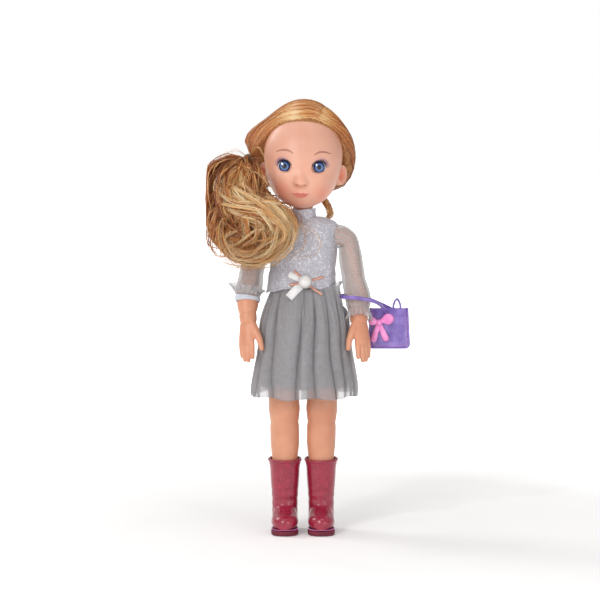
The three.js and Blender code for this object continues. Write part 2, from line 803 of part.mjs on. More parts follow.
const springEndY = chipY - seamGap - 0.1;
const springStartY = springSeatY + seamGap / 2;
const coilSteps = springTurns * 8;
const coilRadius = 4.4;
const coilPoints = Array.from({ length: coilSteps + 1 }, (unused, i) => {
  const turn = (i / 8) * Math.PI * 2;
  const rise = mix(springStartY + springWire / 2, springEndY - springWire / 2, i / coilSteps);
  return v3(Math.cos(turn) * coilRadius, rise, buttonZ + Math.sin(turn) * coilRadius);
});
const wireShape = new THREE.Shape().absarc(0, 0, springWire / 2, 0, Math.PI * 2);
const coilPath = new THREE.CatmullRomCurve3(coilPoints);
add('button_spring', new THREE.ExtrudeGeometry(wireShape, {
  steps: coilSteps, curveSegments: 2, bevelEnabled: false, extrudePath: coilPath,
}), steelColour, 0.3, 1);

const speakerY = moduleBackY + seamGap;
add('speaker_frame', skin(solid(new THREE.LatheGeometry([
  new THREE.Vector2(speakerRadius - 5, 0),
  new THREE.Vector2(speakerRadius - 4, 0),
  new THREE.Vector2(speakerRadius, speakerDepth - 1.2),
  new THREE.Vector2(speakerRadius, speakerDepth),
  new THREE.Vector2(speakerRadius - 2.2, speakerDepth),
  new THREE.Vector2(speakerRadius - 2.2, speakerDepth - 1),
  new THREE.Vector2(speakerRadius - 5, 1),
  new THREE.Vector2(speakerRadius - 5, 0),
], 14).translate(0, speakerY, speakerZ))), '#8f9296', 0.4, 0.8);
const magnet = alongY(0, speakerZ, speakerY, speakerY + 2.6, speakerRadius - 5.5, 16);
add('speaker_magnet', magnet, '#55585c', 0.4, 0.8);
add('speaker_cone', skin(solid(new THREE.LatheGeometry([
  new THREE.Vector2(0, 3.1),
  new THREE.Vector2(speakerRadius - 6, 3.1),
  new THREE.Vector2(speakerRadius - 2.6, speakerDepth - 0.6),
  new THREE.Vector2(speakerRadius - 2.6, speakerDepth),
  new THREE.Vector2(speakerRadius - 6, 3.6),
  new THREE.Vector2(0, 3.6),
], 14).translate(0, speakerY, speakerZ))), '#2c2c2e', 0.8);

const cellY = moduleBackY - cellSink + cellRadius + 0.2;
for (let i = 0; i < cellCount; i += 1) {
  const x = (i - (cellCount - 1) / 2) * cellPitch;
  const [near, far] = [v3(x - cellThickness / 2, cellY, cellZ), v3(x + cellThickness / 2, cellY, cellZ)];
  add(`button_cell_${i + 1}`, rod(near, far, cellRadius, 16), '#c6c8cb', 0.25, 1);
}
sides.forEach((side) => {
  const inner = (cellCount * cellPitch) / 2;
  const near = side * inner;
  const far = side * (inner + contactThickness);
  const plate = block(
    Math.min(near, far), Math.max(near, far), cellY - 4, cellY + 4, cellZ - 4, cellZ + 4,
  );
  add(side < 0 ? 'battery_contact_right' : 'battery_contact_left', plate, '#c9b06a', 0.3, 1);
});

add('battery_door_screw', join(
  alongY(0, doorScrewZ, doorFaceY - 0.8, doorFaceY + 0.1, screwHeadRadius - 0.4),
  alongY(0, doorScrewZ, doorFaceY - 3.4, doorFaceY, screwRadius - 0.1),
), steelColour, 0.3, 1);

// Arms, the doll's left one; the right one is its mirror image

const armStations = [
  { z: wristZ - 3, x: wristX, forward: wristForward + 1, radius: wristRadius },
  { z: wristZ, x: wristX, forward: wristForward, radius: wristRadius },
  { z: forearmZ, x: forearmX, forward: forearmForward, radius: forearmRadius },
  { z: elbowZ, x: elbowX, forward: 2, radius: elbowRadius },
  { z: elbowZ + 16, x: mix(elbowX, armpitX, 0.5), forward: 0.5, radius: upperArmRadius },
  { z: shoulderZ - 8, x: armpitX, forward: 0, radius: upperArmRadius - 0.7 },
  { z: shoulderZ, x: shoulderX, forward: 0, radius: upperArmRadius - 0.7 },
];

function armAt(z) {
  const get = (key, level) => between(armStations, key, level);
  const centre = v3(get('x', z), -get('forward', z), z);
  const above = v3(get('x', z + 1), -get('forward', z + 1), z + 1);
  return { centre, along: above.sub(centre).normalize(), radius: get('radius', z) };
}

function armTube(low, high, rows, count) {
  const rings = [];
  for (let i = 0; i <= rows; i += 1) {
    const t = i / rows;
    const { centre, along, radius } = armAt(mix(low, high, t));
    rings.push(limbRing(centre, along, v3(1, 0, 0), radius, radius, count));
  }
  return rings;
}

function capsule(from, to, radius, tip, facets = 5) {
  const along = to.clone().sub(from).normalize();
  const across = Math.abs(along.x) > 0.8 ? v3(0, 1, 0) : v3(1, 0, 0);
  const rings = [[0, 0.85], [0.5, 0.98], [0.85, 0.85], [1, 0.45]].map(([t, share]) => {
    const size = radius * share * mix(1, tip, t);
    return limbRing(from.clone().lerp(to, t), along, across, size, size, facets);
  });
  return loft(rings);
}

const palmTop = v3(wristX, -wristForward, wristZ);
const handDown = v3(0.16, -handTilt, -1).normalize();
const handAcross = v3(0.62, -0.75, 0).normalize();
const handSide = handDown.clone().cross(handAcross).normalize();
const handOut = handSide.clone().cross(handDown).normalize();

function handPoint(down, across, deep = 0) {
  return palmTop.clone().addScaledVector(handDown, down).addScaledVector(handOut, across)
    .addScaledVector(handSide, deep);
}

function handPieces() {
  const palmRings = [[-2, 0.86, 1.3], [4, 0.94, 1.12], [palmLength * 0.55, 1.06, 1], [palmLength, 1.02, 0.8]];
  const palm = loft(palmRings.map(([down, wide, thick]) => limbRing(
    handPoint(down, 0), handDown, handOut, (palmWidth / 2) * wide, (palmThickness / 2) * thick, 8,
  )));
  const pieces = [palm];
  for (let i = 0; i < fingerCount; i += 1) {
    const across = (i - (fingerCount - 1) / 2) * fingerPitch;
    const reach = fingerLength * (1 - 0.1 * Math.abs(i - 1.3));
    const curl = 2.2 + i * 0.6;
    const root = handPoint(palmLength - 3, across);
    pieces.push(capsule(root, handPoint(palmLength - 3 + reach, across * 1.25, -curl), fingerRadius, 0.8));
  }
  const thumbSeat = handPoint(palmLength * 0.3, -palmWidth * 0.36);
  const thumbTip = handPoint(palmLength * 0.3 + thumbLength, -palmWidth * 0.72, -3);
  pieces.push(capsule(thumbSeat, thumbTip, fingerRadius * 1.25, 0.75));
  return pieces;
}

const armPeg = [
  rod(v3(bossInnerX - seamGap - armPegFlangeThickness, 0, shoulderZ), v3(bossInnerX - seamGap, 0, shoulderZ),
    armPegFlangeRadius, 12),
  rod(v3(bossInnerX - 1, 0, shoulderZ), v3(armFaceX + 3, 0, shoulderZ), armPegRadius, 12),
];
const shoulderCentre = v3(shoulderX - 0.8, 0, shoulderZ - 1);
const shoulderHead = join(
  ball(shoulderCentre, shoulderHeadRadius - 0.6, shoulderHeadRadius, shoulderHeadRadius + 0.4, 10, 7),
  shoulderRod(1, armFaceX, shoulderX - 1, shoulderHeadRadius - 0.8),
);
const upperLimit = block(armFaceX, 80, -60, 60, 0, shoulderZ + 20);
const leftArm = join(
  common(join(loft(armTube(wristZ - 3, shoulderZ - 4, 7, 10)), shoulderHead), upperLimit),
  ...armPeg, ...handPieces(),
);
add('left_arm', leftArm, skinColour, 0.45);
add('right_arm', mirrored(leftArm), skinColour, 0.45);

// Sleeves of sheer cloth, closed round the arm, with a frilled cuff each

const sleeveTopX = armFaceX + clothThickness + clothGap + seamGap;

function sleeveRings(cuffZ, grow, rows, count) {
  const rings = [];
  for (let i = 0; i <= rows; i += 1) {
    const t = i / rows;
    const { centre, along, radius } = armAt(mix(cuffZ, shoulderZ - 11, t));
    const fullness = sleeveFullness * Math.sin(Math.PI * Math.min(t * 1.1, 1));
    const wide = radius + clothGap + fullness + grow;
    rings.push(limbRing(centre.add(v3(fullness * 0.8, 0, 0)), along, v3(1, 0, 0), wide, wide, count));
  }
  // Over the shoulder the rings turn about the armpit until they face the bodice
  const reach = shoulderHeadRadius + clothGap + grow;
  const armpit = shoulderZ - reach - 0.6;
  for (const turn of [12, 42, 70, 90]) {
    const angle = THREE.MathUtils.degToRad(turn);
    const last = turn === 90;
    const low = v3(sleeveTopX, 0, armpit);
    const high = last ? v3(sleeveTopX, 0, shoulderZ + reach + 0.6)
      : v3(shoulderCentre.x + Math.cos(angle) * reach, 0, shoulderCentre.z + Math.sin(angle) * (reach + 0.6));
    const across = high.clone().sub(low);
    const along = v3(-across.z, 0, across.x).normalize();
    const centre = low.add(high).divideScalar(2);
    rings.push(limbRing(centre, along, across.clone().normalize(), across.length() / 2, reach + 0.4, count));
  }
  return rings;
}

function sleeve(cuffZ) {
  const outside = sleeveRings(cuffZ, sleeveThickness, 4, 12);
  const inside = sleeveRings(cuffZ, 0, 4, 12).reverse();
  return loft([...outside, ...inside], true);
}

// A ring about the arm, a distance up the arm from the cuff seam
function cuffRing(cuffZ, distance, widen, count, wave = () => 0) {
  const level = cuffZ + armAt(cuffZ).along.z * distance;
  const { centre, along, radius } = armAt(Math.max(level, wristZ - 4));
  const ring = limbRing(centre, along, v3(1, 0, 0), radius + widen, radius + widen, count);
  return ring.map((point, j) => point.sub(centre).setLength(radius + widen + wave(j)).add(centre));
}

function frill(cuffZ, flare, above) {
  const rows = 2;
  const skins = [1, 0].map((layer) => {
    const rings = [];
    for (let i = 0; i <= rows; i += 1) {
      const t = i / rows;
      const distance = above ? t * cuffLength - seamGap : -seamGap - t * cuffLength;
      const seat = above ? clothGap * 2.6 + sleeveThickness : clothGap;
      const widen = seat + sleeveFullness * (above ? 0.45 : 0) + flare * t ** 1.4 + layer * sleeveThickness;
      const fold = (j) => Math.cos((j * Math.PI) / 2) * cuffFoldDepth * t;
      rings.push(cuffRing(cuffZ, distance, widen, cuffFolds * 4, fold));
    }
    return layer ? rings : rings.reverse();
  });
  return loft([...skins[0], ...skins[1]], true);
}

add('left_sleeve', sleeve(leftCuffZ), sleeveColour, 0.8);
add('right_sleeve', mirrored(sleeve(rightCuffZ)), sleeveColour, 0.8);
add('left_cuff_frill', frill(leftCuffZ, leftCuffFlare, false), frillColour, 0.85);
add('right_cuff_frill', mirrored(frill(rightCuffZ, rightCuffFlare, true)), frillColour, 0.85);

function band(cuffZ) {
  const high = -seamGap * 2;
  const low = high - bandHeight;
  const wide = clothGap + bandThickness;
  return loft([
    cuffRing(cuffZ, low, wide, 16), cuffRing(cuffZ, high, wide, 16),
    cuffRing(cuffZ, high, clothGap, 16), cuffRing(cuffZ, low, clothGap, 16),
  ], true);
}

add('right_wrist_band', mirrored(band(rightCuffZ)), '#d5d4d8', 0.6);

// Legs and boots, the left ones; the right ones are mirror images

const legInnerX = crotchHalfWidth + legInnerGap;
const legStations = [
  { z: soleThickness + footRise, x: legX, y: 0, radius: ankleRadius + 0.6 },
  { z: ankleZ, x: legX, y: 0, radius: ankleRadius },
  { z: ankleZ + 14, x: legX, y: 0.6, radius: ankleRadius + 1.2 },
  { z: bootTopZ - 6, x: legX, y: 1, radius: bootHalfWidth - bootWall - bootFit },
  { z: bootTopZ + 2, x: legX, y: 1, radius: bootHalfWidth - bootWall - bootFit + 0.4 },
  { z: calfZ, x: legX, y: 1.4, radius: calfRadius },
  { z: kneeZ, x: legX + 0.4, y: 0, radius: kneeRadius },
  { z: kneeZ + 34, x: mix(legX, hipX, 0.7), y: 0, radius: thighRadius - 0.4 },
  { z: hipZ, x: hipX, y: 0, radius: thighRadius },
];

function legRings(low, high, rows, count, grow) {
  const rings = [];
  for (let i = 0; i <= rows; i += 1) {
    const z = mix(low, high, i / rows);
    const [x, y, radius] = ['x', 'y', 'radius'].map((key) => between(legStations, key, z));
    rings.push(ovalRing({ x, y, z, halfWidth: radius, front: radius, back: radius }, grow, count));
  }
  return rings;
}

function footShape(grow, count = 8) {
  const rings = [];
  const heelY = bootHeelY - bootWall - seamGap - 2 + grow;
  const toeY = -(footLength - heelY);
  for (let i = 0; i <= 4; i += 1) {
    const t = i / 4;
    const y = mix(heelY, toeY - grow, t);
    const swell = Math.sqrt(Math.max(0.05, 1 - (2 * t - 1) ** 4));
    const slope = THREE.MathUtils.smoothstep(t, 0.1, 0.75);
    const top = mix(ankleRadius * 2.2, bootToeHeight - 6, slope) * swell;
    const half = (footHalfWidth + grow) * swell;
    const low = soleThickness + bootWall + seamGap * 2 - grow;
    const ring = [];
    for (let j = 0; j < count; j += 1) {
      const angle = (j / count) * Math.PI * 2;
      const rise = Math.sin(angle) < 0 ? 0.35 : 1;
      const middle = low + 4 + grow;
      const span = Math.sin(angle) < 0 ? middle - low : top + grow - 4;
      const lift = Math.sign(Math.sin(angle)) * Math.abs(Math.sin(angle)) ** (rise < 1 ? 0.6 : 1);
      ring.push(v3(legX + Math.cos(angle) * half, y, middle + lift * Math.max(span, 0.5)));
    }
    rings.push(ring);
  }
  return loft(rings);
}

const legOuterX = hipHalfWidth - runningGap;
const legHead = rod(v3(legInnerX, 0, hipZ), v3(legOuterX, 0, hipZ), legHeadRadius, 18, legHeadRadius - 0.3);
const legBore = rod(v3(0, 0, hipZ), v3(hipAxleHalfLength + seamGap, 0, hipZ), hipAxleRadius + runningGap, 10);
const legLimit = block(legInnerX, shellReach, -shellReach, shellReach, 0, headCentreZ);
const legColumn = loft(legRings(soleThickness + footRise, hipZ, 8, 12, 0));
const leftLeg = cut(
  common(join(legColumn, legHead, footShape(0)), legLimit), legBore,
);
add('left_leg', leftLeg, skinColour, 0.45);
add('right_leg', mirrored(leftLeg), skinColour, 0.45);

function soleOutline(grow) {
  const outline = new THREE.Shape();
  const half = bootHalfWidth - 1.4 + grow;
  const heel = bootHeelY - 1 + grow;
  const toe = bootToeY + grow;
  outline.moveTo(half * 0.86, 0);
  outline.bezierCurveTo(half * 0.9, heel * 0.8, half * 0.5, heel, 0, heel);
  outline.bezierCurveTo(-half * 0.5, heel, -half * 0.9, heel * 0.8, -half * 0.86, 0);
  outline.bezierCurveTo(-half * 0.9, -toe * 0.3, -half * 1.02, -toe * 0.5, -half, -toe * 0.62);
  outline.bezierCurveTo(-half, -toe * 0.9, -half * 0.55, -toe, 0, -toe);
  outline.bezierCurveTo(half * 0.55, -toe, half, -toe * 0.9, half, -toe * 0.62);
  outline.bezierCurveTo(half * 1.02, -toe * 0.5, half * 0.9, -toe * 0.3, half * 0.86, 0);
  return outline;
}

const soleGeometry = new THREE.ExtrudeGeometry(soleOutline(0), {
  depth: soleThickness, curveSegments: 3, bevelEnabled: false,
}).translate(legX, 0, 0);

function bootFoot() {
  const rows = 6;
  const rings = [];
  const count = 10;
  for (let i = 0; i <= rows; i += 1) {
    const t = i / rows;
    const y = mix(bootHeelY, -bootToeY, t);
    const swell = Math.sqrt(Math.max(0.12, 1 - Math.abs(2 * t - 1) ** 3.4));
    const waist = 1 - 0.1 * Math.exp(-(((t - 0.36) / 0.14) ** 2));
    const half = (bootHalfWidth - 1.6) * swell * waist;
    const instep = THREE.MathUtils.smoothstep(t, 0.12, 0.72);
    const top = mix(bootInstepHeight, bootToeHeight, instep) * mix(0.7, 1, swell);
    const low = soleThickness + seamGap;
    const ring = [];
    for (let j = 0; j < count; j += 1) {
      const angle = (j / count) * Math.PI * 2;
      const up = Math.sin(angle);
      const lift = up < 0 ? low + 5 + up * 5 : low + 5 + up * (top - low - 5);
      const squareness = Math.abs(Math.cos(angle)) ** (up < 0 ? 0.5 : 0.8);
      ring.push(v3(legX + Math.sign(Math.cos(angle)) * squareness * half, y, lift));
    }
    rings.push(ring);
  }
  return loft(rings);
}

function bootShaft() {
  const rows = 3;
  const rings = [];
  const low = soleThickness + seamGap;
  for (let i = 0; i <= rows; i += 1) {
    const t = i / rows;
    const z = mix(low, bootTopZ, t);
    const half = mix(bootHalfWidth - 2.4, bootHalfWidth, THREE.MathUtils.smoothstep(t, 0.3, 1));
    const y = mix(2.6, 1, t);
    rings.push(ovalRing({ x: legX, y, z, halfWidth: half, front: half, back: half }, 0, 12));
  }
  return loft(rings);
}

const legInBoot = loft(legRings(soleThickness + footRise, bootTopZ + footRise, 4, 10, bootFit));
const bootUpper = cut(
  join(bootFoot(), bootShaft()), legInBoot, footShape(bootFit),
  block(-legX, legX * 3, -bootToeY * 2, bootToeY * 2, -soleThickness, soleThickness + seamGap),
);
const rollRing = bootHalfWidth - bootWall - bootFit + 0.4 + bootRollRadius + clothGap;
const bootRoll = skin(solid(new THREE.TorusGeometry(rollRing, bootRollRadius, 6, 14)
  .translate(legX, 1, bootTopZ + bootRollRadius + seamGap)));
add('left_boot', bootUpper, bootColour, 0.3);
add('right_boot', mirrored(bootUpper), bootColour, 0.3);
add('left_boot_top_roll', bootRoll, bootColour, 0.3);
add('right_boot_top_roll', mirrored(bootRoll), bootColour, 0.3);
add('left_boot_sole', skin(solid(soleGeometry)), '#7c1f38', 0.6);
add('right_boot_sole', mirrored(skin(solid(soleGeometry))), '#7c1f38', 0.6);

// Dress: bodice, collar, back closure, lining and tulle skirt

const bodiceTopZ = neckBaseZ - 1.7;
const bodiceRings = [
  ...torsoRings(clothGap + clothThickness, waistZ, bodiceTopZ, 7, 18),
  ...torsoRings(clothGap, waistZ, bodiceTopZ, 7, 18).reverse(),
];
const armholeRadius = shoulderBossRadius + clothGap + seamGap;
const armholes = sides.map((side) => shoulderRod(side, bossRootX, armFaceX + 10, armholeRadius, 14));
const slitHalfWidth = closureWidth / 2 + seamGap;
const backSlit = block(-slitHalfWidth, slitHalfWidth, 4, outside, waistZ - 5, neckBaseZ + 5);
const bodice = cut(loft(bodiceRings, true), ...armholes, backSlit);
add('bodice', bodice, bodiceColour, 0.7);

function closureStrip(gap) {
  const high = shoulderZ;
  const low = waistZ + 2;
  const sheet = loft([
    ...torsoRings(gap + closureThickness, low, high, 3, 18),
    ...torsoRings(gap, low, high, 3, 18).reverse(),
  ], true);
  return common(sheet, block(-closureWidth / 2, closureWidth / 2, 4, outside, low - 5, high + 5));
}

add('back_closure_loop_strip', closureStrip(seamGap + 0.2), '#c9c8cf', 0.9);
add('back_closure_hook_strip', closureStrip(seamGap * 2 + 0.2 + closureThickness), '#d6d5da', 0.9);

const collarInner = neckRadius + clothGap;
const collarBottomZ = neckBaseZ + seamGap;
const collarProfile = [
  new THREE.Vector2(collarInner + 1.2, 0),
  new THREE.Vector2(collarInner + 1.2 + collarThickness, 0),
  new THREE.Vector2(collarInner + collarThickness, collarHeight),
  new THREE.Vector2(collarInner, collarHeight),
  new THREE.Vector2(collarInner + 1.2, 0),
];
add('collar', skin(solid(
  new THREE.LatheGeometry(collarProfile, 18).rotateX(Math.PI / 2).translate(0, 0, collarBottomZ),
)), bodiceColour, 0.7);

function skirtRings(grow, low, halfWidth, depth, depthOfPleat, rows, count) {
  const rings = [];
  const top = torsoSection(waistZ - seamGap, 0);
  for (let i = 0; i <= rows; i += 1) {
    const t = i / rows;
    const z = mix(waistZ - seamGap, low, t);
    const spread = Math.sin(Math.min(t * 1.25, 1) * Math.PI / 2) ** 0.9;
    const wide = mix(top.halfWidth, halfWidth, spread);
    const front = mix(top.front, depth, spread);
    const ring = [];
    for (let j = 0; j < count; j += 1) {
      const angle = (j / count) * Math.PI * 2;
      const wave = Math.cos(angle * pleatCount) * depthOfPleat * Math.min(t * 2.2, 1) * (0.5 + 0.5 * t);
      const out = grow + wave;
      ring.push(v3(Math.cos(angle) * (wide + out), Math.sin(angle) * (front + out), z));
    }
    rings.push(ring);
  }
  return rings;
}

function skirt(gap, thickness, low, halfWidth, depth, depthOfPleat, rows, count) {
  return loft([
    ...skirtRings(gap + thickness, low, halfWidth, depth, depthOfPleat, rows, count),
    ...skirtRings(gap, low, halfWidth, depth, depthOfPleat, rows, count).reverse(),
  ], true);
}

const tulleGap = clothGap + tulleThickness + seamGap;
const lining = skirt(
  clothGap, tulleThickness, liningHemZ, hemHalfWidth - liningInset, hemDepth - liningInset, 0, 3, 30,
);
const pleatSteps = 4;
const tulle = skirt(
  tulleGap, tulleThickness, hemZ, hemHalfWidth, hemDepth, pleatDepth, 3, pleatCount * pleatSteps,
);
add('skirt_lining', lining, liningColour, 0.75);
add('skirt_tulle', tulle, tulleColour, 0.9);

// Waist bow: ribbons crossed under a pearl bead

const frontAtBow = -between(torsoStations, 'front', bowZ) - clothGap - clothThickness;

function ribbonBar(from, to, width, layer) {
  const direction = v3(to[0] - from[0], 0, to[1] - from[1]);
  const bar = new THREE.BoxGeometry(direction.length(), ribbonThickness, width);
  bar.rotateY(-Math.atan2(direction.z, direction.x));
  const y = frontAtBow - seamGap - ribbonThickness * (0.5 + layer) - seamGap * layer;
  return bar.translate((from[0] + to[0]) / 2, y, (from[1] + to[1]) / 2);
}

// A flat ribbon along a few points, bending away from the bodice over the skirt
function ribbonStrip(points, width) {
  const rings = points.map((point, i) => {
    const ahead = points[Math.min(i + 1, points.length - 1)].clone().sub(points[Math.max(i - 1, 0)]);
    const side = v3(-ahead.z, 0, ahead.x).setLength(width / 2);
    const back = v3(0, ribbonThickness / 2, 0);
    return [
      point.clone().add(side).sub(back), point.clone().sub(side).sub(back),
      point.clone().sub(side).add(back), point.clone().add(side).add(back),
    ];
  });
  return loft(rings);
}

const ribbonY = frontAtBow - seamGap - ribbonThickness / 2;
add('white_ribbon_tails', ribbonStrip([
  v3(-12, ribbonY + 0.4, bowZ + 5),
  v3(1, ribbonY, bowZ),
  v3(-5, ribbonY - 0.1, bowZ - 5),
  v3(-9, ribbonY - 4.6, bowZ - 9.5),
  v3(-12.5, ribbonY - 7.8, bowZ - 14),
], 6), whiteColour, 0.35);
add('copper_ribbon_upper', ribbonBar([-7.5, bowZ + 8], [14.6, bowZ - 10], 3, 1), copperColour, 0.35, 0.3);
add('copper_ribbon_lower', ribbonBar([-10.7, bowZ - 2.4], [16.2, bowZ + 3], 3, 2), copperColour, 0.35, 0.3);
const pearlY = frontAtBow - seamGap * 4 - ribbonThickness * 3 - pearlRadius * 0.72;
add('waist_pearl', cut(
  ball(v3(1.6, pearlY, bowZ), pearlRadius, pearlRadius, pearlRadius, 12, 8),
  block(-20, 20, pearlY + pearlRadius * 0.72, 20, bowZ - 20, bowZ + 20),
), '#efe6da', 0.2);

// Tail of hair with its elastic, cut clear of the head, the dress and the arm

const headClear = headBody(seamGap, 24, 15);
const capClear = hairCap(24, 6, seamGap);
const sleeveClear = mirrored(loft(sleeveRings(rightCuffZ, sleeveThickness + 1.1, 4, 10)));
const bodiceClear = loft(torsoRings(clothGap + clothThickness + 1.1, waistZ - 6, neckBaseZ, 6, 14));
const collarReach = [v3(0, 0, collarBottomZ - 1), v3(0, 0, collarBottomZ + collarHeight + 1)];
const collarClear = rod(...collarReach, collarInner + 4, 14);

const strandSteps = 3;
const tail = cut(
  tailBody(curlLobes * strandSteps),
  headClear, capClear, sleeveClear, bodiceClear, collarClear, ...earClearance,
);
add('hair_side_tail', tail, hairColour, 0.5);
add('hair_tie', cut(tieRing, headClear, capClear), hairColour, 0.6);

// Lock of hair behind the neck on the doll's left
const lockRoot = v3(neckRadius + 4.8, headBackDepth - 11, headCentreZ - 24);

function lockPoint(out, ahead, fall) {
  return v3(out * lockLength, -ahead * lockLength, -fall * lockLength).add(lockRoot);
}

const napeLock = new THREE.CatmullRomCurve3([
  lockPoint(0, 0, 0), lockPoint(0.244, 0.195, 0.341), lockPoint(0.488, 0.39, 0.732),
  lockPoint(0.439, 0.244, 1), lockPoint(0.195, 0.098, 0.878),
]);
const lockShape = new THREE.Shape().absarc(0, 0, lockRadius, 0, Math.PI * 2);
const lockBody = new THREE.ExtrudeGeometry(lockShape, {
  steps: 10, curveSegments: 4, bevelEnabled: false, extrudePath: napeLock,
});
add('hair_nape_lock', cut(lockBody, headClear, capClear, bodiceClear), hairColour, 0.5);

// Handbag on its strap at the left forearm

const bagMiddleZ = bagBottomZ + bagHeight / 2;
const bagOutline = new THREE.Shape();
bagOutline.moveTo(-bagBottomWidth / 2 + 3, 0);
bagOutline.lineTo(bagBottomWidth / 2 - 3, 0);
bagOutline.quadraticCurveTo(bagBottomWidth / 2, 0, bagBottomWidth / 2 - 0.3, 3);
bagOutline.lineTo(bagTopWidth / 2, bagHeight);
bagOutline.lineTo(-bagTopWidth / 2, bagHeight);
bagOutline.lineTo(-bagBottomWidth / 2 + 0.3, 3);
bagOutline.quadraticCurveTo(-bagBottomWidth / 2, 0, -bagBottomWidth / 2 + 3, 0);
const bagExtrusion = { depth: bagThickness, curveSegments: 4, bevelEnabled: false };
const bagSolid = new THREE.ExtrudeGeometry(bagOutline, bagExtrusion)
  .rotateX(Math.PI / 2).translate(bagX, bagThickness / 2 + bagY, bagBottomZ);
const bagHollowWidth = bagTopWidth / 2 - bagWall;
const bagHollowDepth = bagThickness / 2 - bagWall;
const bagMouth = block(
  bagX - bagHollowWidth, bagX + bagHollowWidth, bagY - bagHollowDepth, bagY + bagHollowDepth,
  bagBottomZ + bagWall, bagBottomZ + bagHeight + 5,
);
add('handbag_body', cut(bagSolid, bagMouth), '#7c5fa8', 0.25);

const strapForearm = armAt(forearmZ + 2);
const strapReach = strapForearm.radius + sleeveFullness + clothGap + sleeveThickness + strapSlack;
const strapLift = bagBottomZ + bagHeight - strapWidth;
const strapRoute = [
  v3(bagX + 5, bagY + bagThickness / 2 + 0.8, strapLift),
  v3(forearmX + strapReach, bagY + bagThickness / 2 + 1.5, mix(strapLift, forearmZ, 0.6)),
  v3(forearmX, strapForearm.centre.y + strapReach, forearmZ + 1),
  v3(forearmX - strapReach * 0.66, strapForearm.centre.y + strapReach * 0.74, forearmZ + 1.4),
  v3(forearmX - strapReach * 0.93, strapForearm.centre.y, forearmZ + 1.8),
  v3(forearmX, strapForearm.centre.y - strapReach, forearmZ + 1),
  v3(forearmX + strapReach, strapForearm.centre.y - strapReach * 0.62, mix(strapLift, forearmZ, 0.7)),
  v3(bagX - 5, bagY - bagThickness / 2 - 1.2, strapLift),
  v3(bagX + 5, bagY - bagThickness / 2 - 1, strapLift),
];
const strapShape = new THREE.Shape();
strapShape.moveTo(-strapThickness / 2, -strapWidth / 2);
strapShape.lineTo(strapThickness / 2, -strapWidth / 2);
strapShape.lineTo(strapThickness / 2, strapWidth / 2);
strapShape.lineTo(-strapThickness / 2, strapWidth / 2);
add('handbag_strap', new THREE.ExtrudeGeometry(strapShape, {
  steps: 26, bevelEnabled: false, extrudePath: new THREE.CatmullRomCurve3(strapRoute),
}), '#8a6fb4', 0.3);

const bagBowY = bagY - bagThickness / 2 - 0.8;
const bagBowZ = bagMiddleZ + 5;
add('handbag_bow', join(
  ball(v3(bagX - 8.5, bagBowY - 2.2, bagBowZ), 2.6, 2.2, 2.8, 8, 5),
  ball(v3(bagX - 12.5, bagBowY - 2, bagBowZ + 2.4), 4.6, 2, 4.4, 8, 5),
  ball(v3(bagX - 3.6, bagBowY - 2, bagBowZ + 2.8), 5.4, 2, 4.8, 8, 5),
  rod(v3(bagX - 9, bagBowY - 1.9, bagBowZ), v3(bagX - 12.5, bagBowY - 1.9, bagBowZ - 13), 2.2, 6),
  rod(v3(bagX - 8, bagBowY - 1.9, bagBowZ), v3(bagX - 3.6, bagBowY - 1.9, bagBowZ - 12), 2.2, 6),
), '#f48ad0', 0.35);

// The origin is moved to the middle of the underside of the whole doll
const extent = new THREE.Box3().setFromObject(doll);
doll.position.set(-(extent.min.x + extent.max.x) / 2, -(extent.min.y + extent.max.y) / 2, -extent.min.z);

export default doll;
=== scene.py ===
import json
import math
import bpy
import numpy as np
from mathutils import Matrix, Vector


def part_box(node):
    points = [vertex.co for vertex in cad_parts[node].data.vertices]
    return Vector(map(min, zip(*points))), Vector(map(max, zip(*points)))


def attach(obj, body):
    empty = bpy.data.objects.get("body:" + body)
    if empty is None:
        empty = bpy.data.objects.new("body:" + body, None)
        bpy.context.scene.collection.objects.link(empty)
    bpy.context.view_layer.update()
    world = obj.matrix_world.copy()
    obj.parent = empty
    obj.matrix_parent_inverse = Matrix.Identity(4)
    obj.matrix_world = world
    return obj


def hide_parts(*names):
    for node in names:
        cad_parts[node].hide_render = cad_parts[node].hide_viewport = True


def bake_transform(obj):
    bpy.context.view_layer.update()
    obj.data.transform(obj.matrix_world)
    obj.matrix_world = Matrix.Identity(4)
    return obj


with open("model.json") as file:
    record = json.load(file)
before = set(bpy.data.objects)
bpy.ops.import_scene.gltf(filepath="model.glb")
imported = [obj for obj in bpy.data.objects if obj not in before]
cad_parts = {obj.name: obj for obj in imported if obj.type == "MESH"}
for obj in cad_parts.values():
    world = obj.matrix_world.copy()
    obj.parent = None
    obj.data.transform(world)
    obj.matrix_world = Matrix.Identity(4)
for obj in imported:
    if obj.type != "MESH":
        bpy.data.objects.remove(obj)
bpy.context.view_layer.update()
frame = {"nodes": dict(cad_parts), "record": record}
nodes = frame["nodes"]
random = np.random.default_rng(14)

# Sizes are in millimetres from the doll's middle line, as in the part; they become metres in place().
MM = 0.001


def midline():
    left, right, axle = (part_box(n) for n in ("left_boot_sole", "right_boot_sole", "hip_axle"))
    x = (left[0].x + left[1].x + right[0].x + right[1].x) / 4
    return np.array([x, (axle[0].y + axle[1].y) / 2, 0.0])


MIDLINE = midline()


def place(points):
    return np.asarray(points, float) * MM + MIDLINE


def smoothstep(x, low, high):
    t = np.clip((np.asarray(x, float) - low) / (high - low), 0, 1)
    return t * t * (3 - 2 * t)


def mix(a, b, t):
    return a + (b - a) * t


def unit(v):
    v = np.asarray(v, float)
    return v / np.maximum(np.linalg.norm(v, axis=-1, keepdims=True), 1e-9)


def circle(count):
    """Angles evenly round a circle."""
    return np.linspace(0, 2 * np.pi, count, endpoint=False)


def level_ring(x, y, radius, z, turn):
    """A level circle of points round a middle."""
    return np.stack([x + np.cos(turn) * radius, y + np.sin(turn) * radius, np.full_like(turn, z)], -1)


